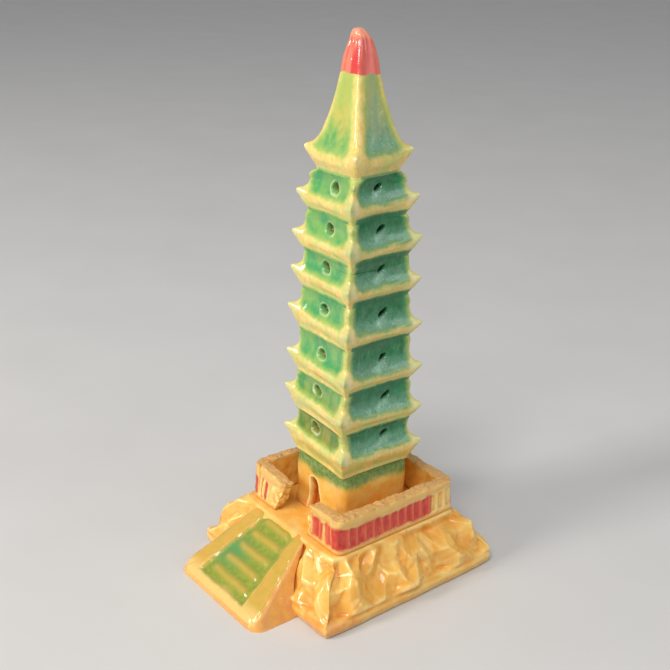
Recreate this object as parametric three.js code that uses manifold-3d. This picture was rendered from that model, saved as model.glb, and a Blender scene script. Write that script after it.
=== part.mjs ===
// A miniature glazed pottery pagoda on a rockwork mound.
//
// Units are millimetres, +Z is up and the stair runs down towards -Y.
// The origin is on the ground, in the middle of the footprint.
// Every clay piece is its own mesh. The pieces are stacked or set side by side with a hair
// of slip between them.

import * as THREE from "three";
import { mergeVertices } from "three/addons/utils/BufferGeometryUtils.js";
import Module from "manifold-3d";

const wasm = await Module();
wasm.setup();

// ---------------------------------------------------------------- driving dimensions

const slipJoint = 0.1; // thickness of slip between two stacked or butted pieces
const cutGap = 0.3; // clearance where one piece is cut to the slope of its neighbour

// The mound stands round the origin until the whole group is centred at the end.
const mound = {
  height: 10.4,
  deeper: 1.03, // a little deeper than it is wide
  cornerRatio: 1.39, // half diagonal over half width, 1.41 for a sharp corner
  topCornerRatio: 1.35, // the terrace has rounder corners
  relief: 0.55, // how far the carved rocks stand in and out
  cavityHalf: 14.0, // hollow underside, at the ground
  cavityTopHalf: 10.2,
  cavityHeight: 7.6,
  cavityRound: 1.5,
  cavityCornerRatio: 1.34,
  ventRadius: 2.2,
};

// The bulging batter of the rockwork: height and half width.
const moundProfile = [
  [0, 17.4],
  [1.1, 17.8],
  [2.6, 17.8],
  [4.3, 17.0],
  [6.1, 15.9],
  [7.7, 14.8],
  [9.3, 13.6],
  [mound.height, 12.8],
];

const tower = { x: 0.5, y: 0.2 };

// The seven skirt roofs, from the lowest up: the height of the horn tips, how far the tips
// stand out on the diagonal, how far below them the storey begins, the dip of the roof
// towards its back right corner, how far the storey is turned, and where the front and
// right windows were poked, sideways from the middle of the face.
const storeys = [
  { horn: 24.6, diagonal: 11.6, rise: 4.2, dip: 0.035, turn: -2.4, frontWindow: -1.7, rightWindow: 1.9 },
  { horn: 31.45, diagonal: 11.65, rise: 3.4, dip: 0.06, turn: -3.5, frontWindow: -1.0, rightWindow: 1.8 },
  { horn: 38.15, diagonal: 11.25, rise: 3.3, dip: 0.045, turn: -1.8, frontWindow: -0.5, rightWindow: 1.2 },
  { horn: 45.8, diagonal: 11.0, rise: 3.3, dip: 0.08, turn: -0.5, frontWindow: -0.4, rightWindow: 1.0 },
  { horn: 52.85, diagonal: 10.5, rise: 3.3, dip: 0.03, turn: -0.4, frontWindow: -0.6, rightWindow: 0.6 },
  { horn: 59.2, diagonal: 10.3, rise: 3.2, dip: 0, turn: 0.7, frontWindow: -0.1, rightWindow: 0.4 },
  { horn: 65.8, diagonal: 9.7, rise: 3.2, dip: 0, turn: -0.2, frontWindow: 0.8, rightWindow: 0 },
];

const spire = {
  horn: 72.6,
  diagonal: 8.4,
  rise: 3.4,
  turn: 2.5,
  tip: 90.2,
  boreTop: 79, // the blind bore under the spire
  boreShoulder: 76,
  boreShoulderRadius: 1.6,
};

// The hollow sweep of the spire above its eave: height, half width and half diagonal.
const spireProfile = [
  [73.1, 4.95, 6.9],
  [74.4, 4.35, 6.05],
  [76.7, 3.65, 5.0],
  [79.7, 2.95, 3.95],
  [83.2, 2.35, 3.08],
  [86.7, 1.85, 2.3],
  [88.3, 1.45, 1.75],
  [89.5, 0.95, 1.1],
];

const ground = {
  half: 6.9,
  diagonal: 9.4,
  floor: mound.height + slipJoint,
  top: storeys[0].horn - storeys[0].rise - slipJoint,
  flare: 0.25, // how far the foot stands out
  shoulder: 0.5, // how far the top edge is rounded in
  doorOffset: -1.2,
  doorHeight: 6.5,
  doorDepth: 1.6,
  doorRadius: 0.8, // of the arch; the door widens downwards, more to the left
  doorFootLeft: 1.5,
  doorFootRight: 1.1,
};

// How the skirt roof of every storey is shaped.
const skirt = {
  hollow: 0.75, // how far the middle of an eave is inside the line between its horns
  overhang: 1.3, // from the wall out to the middle of the eave
  hornOverhang: 2.2, // from the wall corner out to the horn
  edgeBelowHorn: 0.85,
};

const shaftRadius = 2.8; // hollow up the middle of the tower
const windowHalfWidth = 0.7;
const windowHalfHeight = 0.8;
const windowAboveHorn = 1.35;
const windowDepth = 1.5; // the windows are blind
const backWindow = 0.2; // sideways from the middle, on every storey
const leftWindow = -0.2;

const parapet = {
  y: 0.4, // the terrace walls stand a little behind the axis of the tower
  half: 12.2, // outer face of the side walls
  halfDepth: 12.6, // outer face of the front and back walls
  thickness: 2.0,
  floor: mound.height + slipJoint,
  leftTop: 17.2, // the walls are tallest at the left and lowest at the back right corner
  rightTop: 16.1,
  nearTop: 16.6,
  gateTop: 16.2,
  batter: 0.4, // how far the walls lean in over their height
  cornerRadius: 1.4,
  gateLeft: -5.4, // foot of the broken wall end, whose top leans over the gate
  gateLean: 2.6,
  gateRight: 3.7,
  ribFrom: 11.2,
  ribTo: 14.7,
  ribPitch: 1.6,
  ribRadius: 0.35,
  ribMargin: 0.6, // plain strip at the square ends of a wall
};

const ramp = {
  toe: -26.2, // front edge on the ground
  toeLeft: -13.5,
  toeRight: 9.8,
  edge: 1.2, // thickness of the rounded front edge
  sideSlope: 0.5, // how far a side leans in for each millimetre of height
  bullnose: 0.45, // how far the top of the front edge is set back
  cornerCut: 1.3, // cut off the two corners of the toe
  panelDepth: 0.5, // at the toe, fading out towards the gate
  panelFade: 0.4,
  panelFrom: 1.6, // up the slope from the front edge
  panelFoot: [-9.0, 4.3], // left and right sides of the panel at the toe
  panelHead: [-5.6, 2.9], // and at the gate
  stepRadius: 0.55,
  steps: 5,
  firstStep: 0.22, // share of the slope below the first step
  lastStep: 0.91,
  stepFoot: [-7.9, 3.8], // left and right ends of a step at the toe
  stepHead: [-4.7, 2.6], // and at the gate
};

// ---------------------------------------------------------------- colours

const amberGlaze = new THREE.MeshStandardMaterial({ color: 0xe2ac58, roughness: 0.2, metalness: 0 });
const rampGlaze = new THREE.MeshStandardMaterial({ color: 0xb3a552, roughness: 0.2, metalness: 0 });
const redGlaze = new THREE.MeshStandardMaterial({ color: 0xd07a52, roughness: 0.25, metalness: 0 });
const greenGlaze = new THREE.MeshStandardMaterial({ color: 0x6aa568, roughness: 0.15, metalness: 0 });
const spireGlaze = new THREE.MeshStandardMaterial({ color: 0x8fae6a, roughness: 0.15, metalness: 0 });

// ---------------------------------------------------------------- shape helpers

function toSolid(geometry) {
  const plain = geometry.index ? geometry : mergeVertices(geometry);
  plain.deleteAttribute("normal");
  plain.deleteAttribute("uv");
  const merged = mergeVertices(plain, 1e-4);
  const solid = new wasm.Manifold(
    new wasm.Mesh({
      numProp: 3,
      vertProperties: new Float32Array(merged.attributes.position.array),
      triVerts: new Uint32Array(merged.index.array),
    }),
  );
  return solid;
}

function toMesh(name, solid, material) {
  const result = solid.getMesh();
  const geometry = new THREE.BufferGeometry();
  geometry.setAttribute("position", new THREE.BufferAttribute(result.vertProperties, 3));
  geometry.setIndex(new THREE.BufferAttribute(result.triVerts, 1));
  geometry.computeVertexNormals();
  const mesh = new THREE.Mesh(geometry, material);
  mesh.name = name;
  return mesh;
}

// A ring is a square outline at one height. half is its half width at the middle of a side
// and diagonal its half diagonal. bend says how late a side leaves its middle width on the
// way to the corner: high for a straight side, 2 for a nearly round ring. lift raises the
// corners.
function ring(z, half, diagonal, { bend = 5, lift = 0, halfY = half } = {}) {
  return { z, half, halfY, diagonal, bend, lift };
}

function roundRing(z, radius) {
  return ring(z, radius, radius, { bend: 2 });
}

// Places one point of a ring. along runs from -1 at one corner to 1 at the next.
function ringPoint(shape, side, along) {
  const corner = shape.diagonal / Math.SQRT2;
  const fade = Math.abs(along) ** shape.bend;
  const outward = shape.half + (corner - shape.half) * fade;
  const tangent = corner * along;
  const angle = (side * Math.PI) / 2;
  const x = outward * Math.cos(angle) - tangent * Math.sin(angle);
  const y = outward * Math.sin(angle) + tangent * Math.cos(angle);
  return new THREE.Vector3(x, (y * shape.halfY) / shape.half, shape.z + shape.lift * fade);
}

// Spins a list of rings into a solid. The rings run up the outside and then down the inside.
// An open list is closed on itself; a list that starts and ends on the axis is closed there.
// The lathe gives the skin and each of its points is then moved onto its ring.
function squareLathe(rings, places, adjust = (point) => point) {
  const onAxis = rings[0].half === 0;
  const path = onAxis ? rings : [...rings, rings[0]];
  const profile = path.map((shape) => new THREE.Vector2(shape.half, shape.z));
  const columns = 4 * places.length;
  const geometry = new THREE.LatheGeometry(profile, columns);
  const position = geometry.attributes.position;
  for (let column = 0; column <= columns; column += 1) {
    const wrapped = column % columns;
    const side = Math.floor(wrapped / places.length);
    const along = places[wrapped % places.length];
    for (let row = 0; row < path.length; row += 1) {
      const spot = column * path.length + row;
      if (path[row].half === 0) {
        position.setXYZ(spot, 0, 0, path[row].z);
      } else {
        const point = adjust(ringPoint(path[row], side, along), row);
        position.setXYZ(spot, point.x, point.y, point.z);
      }
    }
  }
  return toSolid(geometry);
}

const storeyPlaces = [-1, -0.84, -0.45, 0, 0.45, 0.84];
const moundPlaces = [-1, -0.9, -0.74, -0.57, -0.4, -0.22, -0.05, 0.13, 0.3, 0.46, 0.63, 0.8, 0.92];

// A prism of the given outline, pushed out of the front face towards -Y from startY.
// The outline's own x runs along X and its y runs up.
function frontPrism(outline, startY, depth, curveSegments = 6) {
  const geometry = new THREE.ExtrudeGeometry(outline, { depth, bevelEnabled: false, curveSegments });
  geometry.rotateX(Math.PI / 2);
  geometry.translate(0, startY, 0);
  return toSolid(geometry);
}

function ovalOutline(x, z, halfWidth, halfHeight) {
  const outline = new THREE.Shape();
  outline.absellipse(x, z, halfWidth, halfHeight, 0, 2 * Math.PI, false, 0);
  return outline;
}

// ---------------------------------------------------------------- the tower

// The skirt roof and wall of one storey, from its foot at z = 0 up to height. The eave is
// a thick rounded band that swells out to the horns, and the roof sweeps up from it in a
// hollow curve to the wall.
function skirtRings(half, diagonal, rise, height) {
  const wall = half - skirt.overhang;
  const neck = diagonal - skirt.hornOverhang;
  const edge = rise - skirt.edgeBelowHorn;
  return [
    ring(0, wall, neck, { bend: 7 }),
    ring(0.14 * rise, half - 0.75, diagonal - 1.6, { bend: 6 }),
    ring(0.3 * rise, half - 0.5, diagonal - 1.35, { bend: 4.5 }),
    ring(0.52 * rise, half - 0.1, diagonal - 0.8, { bend: 4, lift: 0.2 }),
    ring(edge, half - 0.1, diagonal, { bend: 5, lift: rise - edge }),
    ring(rise - 0.25, half - 0.65, diagonal - 1.2, { bend: 5, lift: 0.8 }),
    ring(rise + 0.55, half - 1.1, diagonal - 1.9, { bend: 6, lift: 0.6 }),
    ring(rise + 1.65, wall, neck, { bend: 7, lift: 0.3 }),
    ring(height, wall, neck, { bend: 7 }),
  ];
}

function footOf(storey) {
  return storey.horn - storey.rise;
}

function buildStorey(index) {
  const storey = storeys[index];
  const above = index + 1 < storeys.length ? storeys[index + 1] : spire;
  const height = footOf(above) - footOf(storey) - slipJoint;
  const half = storey.diagonal / Math.SQRT2 - skirt.hollow;
  const rings = [
    ...skirtRings(half, storey.diagonal, storey.rise, height),
    roundRing(height, shaftRadius),
    roundRing(0, shaftRadius),
  ];
  const sag = (point) => {
    const towardsBackRight = (point.x + point.y) / Math.SQRT2;
    const share = Math.sin((Math.PI * point.z) / height);
    point.z -= storey.dip * towardsBackRight * share;
    return point;
  };
  let solid = squareLathe(rings, storeyPlaces, sag);
  const offsets = [storey.frontWindow, storey.rightWindow, backWindow, leftWindow];
  const windowFloor = -(half - skirt.overhang - windowDepth);
  offsets.forEach((offset, side) => {
    const outline = ovalOutline(offset, storey.rise + windowAboveHorn, windowHalfWidth, windowHalfHeight);
    const poke = frontPrism(outline, windowFloor, half, 4);
    solid = solid.subtract(poke.rotate([0, 0, 90 * side]));
  });
  return solid;
}

function buildSpire() {
  const { diagonal, rise, tip } = spire;
  const half = diagonal / Math.SQRT2;
  const above = (z) => z - footOf(spire);
  const eave = skirtRings(half, diagonal, rise, 2 * rise).slice(0, 5);
  const rings = [
    ring(above(spire.boreTop), 0, 0),
    roundRing(above(spire.boreShoulder), spire.boreShoulderRadius),
    roundRing(0, shaftRadius),
    ...eave,
    ...spireProfile.map(([z, width, corner]) => ring(above(z), width, corner)),
    ring(above(tip), 0, 0),
  ];
  return squareLathe(rings, storeyPlaces);
}

function doorOutline() {
  const { doorOffset, doorRadius, doorHeight, doorFootLeft, doorFootRight } = ground;
  const outline = new THREE.Shape();
  const spring = doorHeight - doorRadius;
  outline.moveTo(doorOffset - doorFootLeft, 0);
  outline.lineTo(doorOffset + doorFootRight, 0);
  outline.lineTo(doorOffset + doorRadius, spring);
  outline.absarc(doorOffset, spring, doorRadius, 0, Math.PI, false);
  outline.lineTo(doorOffset - doorFootLeft, 0);
  return outline;
}

function buildGroundStorey() {
  const height = ground.top - ground.floor;
  const { flare, shoulder } = ground;
  const rings = [
    ring(0, ground.half + flare, ground.diagonal + flare, { bend: 9 }),
    ring(0.8, ground.half, ground.diagonal, { bend: 9 }),
    ring(height - 1.2, ground.half - 0.1, ground.diagonal - 0.25, { bend: 9 }),
    ring(height, ground.half - shoulder, ground.diagonal - shoulder, { bend: 9 }),
    roundRing(height, shaftRadius),
    roundRing(0, shaftRadius),
  ];
  const box = squareLathe(rings, storeyPlaces);
  const recess = frontPrism(doorOutline(), -(ground.half - ground.doorDepth), ground.half);
  const throughDoor = recess.translate([0, 0, -1]).add(recess);
  return box.subtract(throughDoor);
}

// ---------------------------------------------------------------- the rockwork mound

// Carved rocks: three crossing families of slanting waves, folded into flats and creases.
function rockDepth(x, y, z) {
  const around = x - y;
  const slant = Math.abs(Math.sin(around * 0.83 + z * 0.55));
  const back = Math.abs(Math.sin(around * 0.47 - z * 0.9 + 1.3));
  const bed = Math.abs(Math.sin(z * 0.8 + Math.sin(around * 0.6) * 1.2));
  return slant * 0.9 + back * 0.7 + bed * 0.5 - 1.05;
}

function moundRing(z, half) {
  const ratio = z === mound.height ? mound.topCornerRatio : mound.cornerRatio;
  return ring(z, half, half * ratio, { bend: 9, halfY: half * mound.deeper });
}

function buildMound() {
  const { height, cavityHalf, cavityTopHalf, cavityHeight, cavityRound, ventRadius } = mound;
  const cavityRing = (z, half) => ring(z, half, half * mound.cavityCornerRatio, { bend: 7 });
  const rings = [
    ...moundProfile.map(([z, half]) => moundRing(z, half)),
    roundRing(height, ventRadius),
    roundRing(cavityHeight, ventRadius),
    cavityRing(cavityHeight, cavityTopHalf - cavityRound),
    cavityRing(cavityHeight - cavityRound, cavityTopHalf),
    cavityRing(0, cavityHalf),
  ];
  const plinthRow = 1;
  const topRow = moundProfile.length - 1;
  const carve = (point, row) => {
    const behindRamp = point.y < 0 && point.x > ramp.toeLeft && point.x < ramp.toeRight;
    if (row <= plinthRow || row >= topRow || behindRamp) {
      return point;
    }
    const swell = 1 + (mound.relief * rockDepth(point.x, point.y, point.z)) / cavityHalf;
    return new THREE.Vector3(point.x * swell, point.y * swell, point.z);
  };
  return squareLathe(rings, moundPlaces, carve);
}

// The plain batter grown by the clearance, to cut the ramp to the slope of the mound.
function moundClearance() {
  const grown = moundProfile.map(([z, half]) => moundRing(z, half + cutGap));
  const rings = [ring(-1, 0, 0), moundRing(-1, grown[0].half), ...grown, ring(mound.height, 0, 0)];
  return squareLathe(rings, moundPlaces);
}

// ---------------------------------------------------------------- the stair ramp

// The line up the middle of the sloping top, from the toe to the edge of the terrace.
const rampFoot = new THREE.Vector2(ramp.toe, ramp.edge);
const terraceEdge = -moundProfile.at(-1)[1] * mound.deeper;
const rampHead = new THREE.Vector2(terraceEdge - 2 * cutGap, mound.height);
const rampLength = rampFoot.distanceTo(rampHead);
const rampPitch = rampHead.clone().sub(rampFoot).angle();

// Maps the unit box onto the ramp: across from left to right, along from the toe to the
// terrace and up from the ground to the sloping top.
function rampPoint(across, along, up) {
  const y = THREE.MathUtils.lerp(rampFoot.x, rampHead.x, along);
  const z = THREE.MathUtils.lerp(rampFoot.y, rampHead.y, along) * up;
  const lean = z * ramp.sideSlope;
  const cornerCut = along === 0 ? ramp.cornerCut : 0;
  const left = ramp.toeLeft + lean + cornerCut;
  const right = ramp.toeRight - lean - cornerCut;
  const bullnose = along === 0 && up === 1 ? ramp.bullnose : 0;
  return new THREE.Vector3(THREE.MathUtils.lerp(left, right, across), y + bullnose, z);
}

// Lays a solid made flat, with y running up the ramp, onto the sloping top.
function onRamp(solid, extraTilt = 0) {
  const tilt = THREE.MathUtils.radToDeg(rampPitch + extraTilt);
  return solid.rotate([tilt, 0, 0]).translate([0, rampFoot.x, rampFoot.y]);
}

// The sunk panel, which runs out through the head of the ramp.
function panelSolid() {
  const { panelFrom, panelFoot, panelHead } = ramp;
  const panel = new THREE.Shape();
  panel.moveTo(panelFoot[0], panelFrom);
  panel.lineTo(panelFoot[1], panelFrom);
  panel.lineTo(panelHead[1], rampLength + 1);
  panel.lineTo(panelHead[0], rampLength + 1);
  panel.closePath();
  const cut = new THREE.ExtrudeGeometry(panel, { depth: 3, bevelEnabled: false });
  cut.translate(0, 0, -ramp.panelDepth);
  return onRamp(toSolid(cut), ramp.panelFade / rampLength);
}

// One raised step: a round bar across the panel, shorter towards the top.
function stepSolid(index) {
  const share = THREE.MathUtils.lerp(ramp.firstStep, ramp.lastStep, index / (ramp.steps - 1));
  const left = THREE.MathUtils.lerp(ramp.stepFoot[0], ramp.stepHead[0], share);
  const right = THREE.MathUtils.lerp(ramp.stepFoot[1], ramp.stepHead[1], share);
  const bar = new THREE.CylinderGeometry(ramp.stepRadius, ramp.stepRadius, right - left, 8);
  bar.rotateZ(Math.PI / 2);
  bar.translate((left + right) / 2, rampLength * share, -ramp.panelDepth);
  return onRamp(toSolid(bar), ramp.panelFade / rampLength);
}

function buildRamp() {
  const body = new THREE.BoxGeometry(1, 1, 1, 2, 8, 1);
  const position = body.attributes.position;
  for (let spot = 0; spot < position.count; spot += 1) {
    const across = position.getX(spot) + 0.5;
    const along = position.getY(spot) + 0.5;
    const up = position.getZ(spot) + 0.5;
    const point = rampPoint(across, along, up);
    position.setXYZ(spot, point.x, point.y, point.z);
  }
  let solid = toSolid(body).subtract(panelSolid());
  for (let index = 0; index < ramp.steps; index += 1) {
    solid = solid.add(stepSolid(index));
  }
  return solid.subtract(moundClearance());
}

// ---------------------------------------------------------------- the parapet

// The outline of a wall seen from above, running along X from fromX to toX with its outer
// face at y = outer. The corners are those where the wall turns round the terrace.
function wallOutline(fromX, toX, outer, rounded) {
  const radius = parapet.cornerRadius;
  const outline = new THREE.Shape();
  outline.moveTo(toX, outer + parapet.thickness);
  outline.lineTo(fromX, outer + parapet.thickness);
  if (rounded) {
    outline.absarc(fromX + radius, outer + radius, radius, Math.PI, 1.5 * Math.PI, false);
    outline.absarc(toX - radius, outer + radius, radius, 1.5 * Math.PI, 2 * Math.PI, false);
  } else {
    outline.lineTo(fromX, outer);
    outline.lineTo(toX, outer);
  }
  outline.closePath();
  return outline;
}

// A wall of the parapet with its pressed ribs. The top runs from startTop to endTop, the wall
// leans in by the batter and endLean pushes the top of its far end outwards.
function buildWall(fromX, toX, face, startTop, endTop, { rounded = false, endLean = 0 } = {}) {
  const { floor, cornerRadius, batter, ribFrom, ribTo, ribPitch, ribRadius, ribMargin } = parapet;
  const outline = wallOutline(fromX, toX, -face, rounded);
  const slab = new THREE.ExtrudeGeometry(outline, { depth: 1, bevelEnabled: false, curveSegments: 4 });
  const points = slab.attributes.position;
  for (let spot = 0; spot < points.count; spot += 1) {
    const along = (points.getX(spot) - fromX) / (toX - fromX);
    const up = points.getZ(spot);
    const top = THREE.MathUtils.lerp(startTop, endTop, along);
    const x = points.getX(spot) + endLean * along * up;
    points.setXYZ(spot, x, points.getY(spot) + batter * up, THREE.MathUtils.lerp(floor, top, up));
  }
  let solid = toSolid(slab);
  const margin = rounded ? cornerRadius : ribMargin;
  const run = toX - fromX - 2 * margin;
  const count = Math.floor(run / ribPitch);
  const tilt = Math.atan2(batter, startTop - floor);
  for (let index = 0; index < count; index += 1) {
    const middle = fromX + margin + ((index + 0.5) * run) / count;
    const rib = new THREE.CylinderGeometry(ribRadius, ribRadius, ribTo - ribFrom, 6);
    rib.rotateX(Math.PI / 2 - tilt);
    rib.translate(middle, batter / 2 - face, (ribFrom + ribTo) / 2);
    solid = solid.add(toSolid(rib));
  }
  return solid;
}

// ---------------------------------------------------------------- assembly

const pagoda = new THREE.Group();

pagoda.add(toMesh("rockwork_mound", buildMound(), amberGlaze));
pagoda.add(toMesh("stair_ramp", buildRamp(), rampGlaze));

const terrace = new THREE.Group();
terrace.position.set(tower.x, tower.y, 0);
pagoda.add(terrace);

// The side walls run the full depth; the back and front walls stand between them.
const { half, halfDepth, leftTop, rightTop, nearTop, gateTop, gateLeft, gateRight, gateLean } = parapet;
const inside = half - parapet.thickness - parapet.batter - slipJoint;
const walls = [
  ["parapet_left", buildWall(-halfDepth, halfDepth, half, leftTop, leftTop, { rounded: true }), -90],
  ["parapet_right", buildWall(-halfDepth, halfDepth, half, nearTop, rightTop, { rounded: true }), 90],
  ["parapet_back", buildWall(-inside, inside, halfDepth, rightTop, leftTop), 180],
  ["parapet_front_left", buildWall(-inside, gateLeft, halfDepth, leftTop, gateTop, { endLean: gateLean }), 0],
  ["parapet_front_right", buildWall(gateRight, inside, halfDepth, gateTop, nearTop), 0],
];
for (const [name, solid, turn] of walls) {
  const wall = toMesh(name, solid.rotate([0, 0, turn]), redGlaze);
  wall.position.y = parapet.y;
  terrace.add(wall);
}

const groundStorey = toMesh("ground_storey", buildGroundStorey(), amberGlaze);
groundStorey.position.z = ground.floor;
terrace.add(groundStorey);

storeys.forEach((storey, index) => {
  const mesh = toMesh(`storey_${index + 2}`, buildStorey(index), greenGlaze);
  mesh.position.z = footOf(storey);
  mesh.rotation.z = THREE.MathUtils.degToRad(storey.turn);
  terrace.add(mesh);
});

const spireRoof = toMesh("spire_roof", buildSpire(), spireGlaze);
spireRoof.position.z = footOf(spire);
spireRoof.rotation.z = THREE.MathUtils.degToRad(spire.turn);
terrace.add(spireRoof);

// Stand the group on the ground with the middle of its footprint on the origin.
const footprint = new THREE.Box3().setFromObject(pagoda).getCenter(new THREE.Vector3());
pagoda.position.set(-footprint.x, -footprint.y, 0);
pagoda.updateMatrixWorld(true);

export default pagoda;
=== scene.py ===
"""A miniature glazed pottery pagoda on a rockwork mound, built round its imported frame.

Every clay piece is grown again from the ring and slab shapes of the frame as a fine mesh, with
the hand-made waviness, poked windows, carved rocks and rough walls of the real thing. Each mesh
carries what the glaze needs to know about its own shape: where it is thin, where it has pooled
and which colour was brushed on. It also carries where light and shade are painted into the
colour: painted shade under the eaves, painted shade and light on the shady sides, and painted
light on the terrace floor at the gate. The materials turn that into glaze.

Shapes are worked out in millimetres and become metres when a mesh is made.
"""

import itertools
import math

import bpy
import numpy as np
from mathutils import Matrix, Vector


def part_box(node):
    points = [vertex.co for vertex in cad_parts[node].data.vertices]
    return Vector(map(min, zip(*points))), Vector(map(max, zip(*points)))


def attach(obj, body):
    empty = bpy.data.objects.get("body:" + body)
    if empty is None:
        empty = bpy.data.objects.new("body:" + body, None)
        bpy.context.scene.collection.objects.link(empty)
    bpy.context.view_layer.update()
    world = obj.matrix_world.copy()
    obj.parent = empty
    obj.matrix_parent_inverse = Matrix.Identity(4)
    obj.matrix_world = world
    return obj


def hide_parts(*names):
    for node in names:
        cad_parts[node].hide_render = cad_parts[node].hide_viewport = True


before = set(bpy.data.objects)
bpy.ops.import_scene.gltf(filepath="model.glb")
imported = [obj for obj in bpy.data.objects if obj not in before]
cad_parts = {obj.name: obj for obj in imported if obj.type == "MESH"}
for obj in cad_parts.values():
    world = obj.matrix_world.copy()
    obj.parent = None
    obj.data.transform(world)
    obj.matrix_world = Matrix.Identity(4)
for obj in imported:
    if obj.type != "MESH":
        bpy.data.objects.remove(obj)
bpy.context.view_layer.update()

# ---------------------------------------------------------------- driving sizes, in millimetres

MM = 0.001
SKIN_PITCH = 0.15  # distance between two mesh points on a storey or a wall
SPIRE_PITCH = 0.14
ROCK_PITCH = 0.2
CORNER_PITCH = 0.075  # and where the skin turns a corner
SEAT = 0.12  # how far a piece reaches down to close the slip joint under it
COVE = 0.55  # how far a joint between two storeys is filled out with slip
CORNER_COVE = 0.15  # and how far at its corners, where the slip was wiped away

AXIS_FROM_MOUND = np.array([0.5, 0.2])
SHAFT_RADIUS = 2.8
RIGHT, BACK, FRONT = 0, 1, 3  # sides are counted from +X towards +Y, and 2 is the left one

# For each storey: how far the horns stand out on the diagonal, how high they are above its
# foot, the dip towards the back right corner, its turn in degrees, how far the pale glaze
# reaches down under the edge of the eave, how round its ridges are, and how far the window of
# the right, back, left and front side is from the middle.
STOREYS = {
    "storey_2": (11.6, 4.2, 0.035, -2.4, 3.8, 1.35, (1.9, 0.2, -0.2, -1.7)),
    "storey_3": (11.65, 3.4, 0.06, -3.5, 2.5, 1.1, (1.8, 0.2, -0.2, -1.0)),
    "storey_4": (11.25, 3.3, 0.045, -1.8, 2.0, 1.0, (1.2, 0.2, -0.2, -0.5)),
    "storey_5": (11.0, 3.3, 0.08, -0.5, 1.9, 0.95, (1.0, 0.2, -0.2, -0.4)),
    "storey_6": (10.5, 3.3, 0.03, -0.4, 1.7, 0.95, (0.6, 0.2, -0.2, -0.6)),
    "storey_7": (10.3, 3.2, 0.0, 0.7, 1.6, 0.95, (0.4, 0.2, -0.2, -0.1)),
    "storey_8": (9.7, 3.2, 0.0, -0.2, 1.6, 0.9, (0.0, 0.2, -0.2, 0.8)),
}
EAVE_HOLLOW = 0.75  # how far the middle of an eave is inside the line between its horns
OVERHANG = 1.3  # from the wall out to the middle of the eave
HORN_OVERHANG = 2.2  # from the wall's corner out to the horn
EDGE_BELOW_HORN = 0.85
FOOT_SOFTNESS = 0.55  # how round the corners are at a joint
WINDOW_HALF_WIDTH = 0.7
WINDOW_HALF_HEIGHT = 0.8
WINDOW_ABOVE_HORN = 1.35
WINDOW_DEPTH = 1.5

SPIRE_DIAGONAL = 8.4
SPIRE_RISE = 3.4
SPIRE_TURN = 2.5
# The hollow sweep of the spire above its eave: level, half width, half diagonal and lift.
SPIRE_PROFILE = [
    (73.1, 4.95, 6.9, 0.5),
    (74.4, 4.35, 6.05, 0),
    (76.7, 3.65, 5.0, 0),
    (79.7, 2.95, 3.95, 0),
    (83.2, 2.35, 3.08, 0),
    (86.7, 1.85, 2.3, 0),
    (88.3, 1.45, 1.75, 0),
    (89.5, 1.05, 1.2, 0),
    (90.0, 0.75, 0.85, 0),
]
BORE_TOP = 79.0
BORE_SHOULDER = 76.0
BORE_SHOULDER_RADIUS = 1.6
RED_FROM = 83.7

GROUND_HALF = 6.9
GROUND_DIAGONAL = 9.4
DOOR_OFFSET = -1.2
DOOR_WIDTH = 2.0
DOOR_HEIGHT = 6.5
DOOR_DEPTH = 1.6

MOUND_DEEPER = 1.03
MOUND_CORNER_RATIO = 1.39
TERRACE_CORNER_RATIO = 1.35
MOUND_PROFILE = [
    (0, 17.4),
    (1.1, 17.8),
    (2.6, 17.8),
    (4.3, 17.0),
    (6.1, 15.9),
    (7.7, 14.8),
    (9.3, 13.6),
    (10.4, 12.8),
]
TERRACE = MOUND_PROFILE[-1][0]
TERRACE_RINGS = 44
CAVITY_HALF = 14.0
CAVITY_TOP_HALF = 10.2
CAVITY_HEIGHT = 7.6
CAVITY_ROUND = 1.5
CAVITY_CORNER_RATIO = 1.34
CAVITY_PITCH = 0.6
MOUND_CORNER = 17.5  # half the length of a side, for the spacing of its columns
VENT_RADIUS = 2.2
# The carved rocks: how high one is, and how many go round the mound.
BIG_ROCKS = (3.9, 36)
SMALL_ROCKS = (1.9, 73)

WALL_THICKNESS = 2.0
WALL_BATTER = 0.4
WALL_CORNER = 1.4
WALLS_Y = 0.4
SIDE_FACE = 12.2  # outer face of the side walls, from the tower's axis
END_FACE = 12.6  # outer face of the front and back walls
INSIDE = SIDE_FACE - WALL_THICKNESS - WALL_BATTER + 0.8

# For each wall: its turn in degrees, where it starts and ends, its outer face, its height at
# both ends, how far the top of its far end leans out and whether it turns the corners.
WALLS = {
    "parapet_left": (-90, -END_FACE, END_FACE, SIDE_FACE, 17.2, 17.2, 0, True),
    "parapet_right": (90, -END_FACE, END_FACE, SIDE_FACE, 16.6, 16.1, 0, True),
    "parapet_back": (180, -INSIDE, INSIDE, END_FACE, 16.1, 17.2, 0, False),
    "parapet_front_left": (0, -INSIDE, -5.4, END_FACE, 17.2, 16.2, 2.6, False),
    "parapet_front_right": (0, 3.7, INSIDE, END_FACE, 16.2, 16.6, 0, False),
}
RIB_FROM = 11.2
RIB_TO = 14.7
RIB_PITCH = 1.6
RIB_HALF_WIDTH = 0.36
RIB_HEIGHT = 0.34

RAMP_TOE = -26.2
RAMP_LEFT = -13.5
RAMP_RIGHT = 9.8
RAMP_EDGE = 1.2
RAMP_SLOPE = 0.5
RAMP_CORNER = 2.3  # how round the toe corners are in plan
RAMP_ROUND = 0.85  # and the edge between the sides and the top
RAMP_STEPS = 5
RAMP_CELLS = (130, 100, 44)  # across, along and up
PANEL_DEPTH = 0.5
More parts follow.
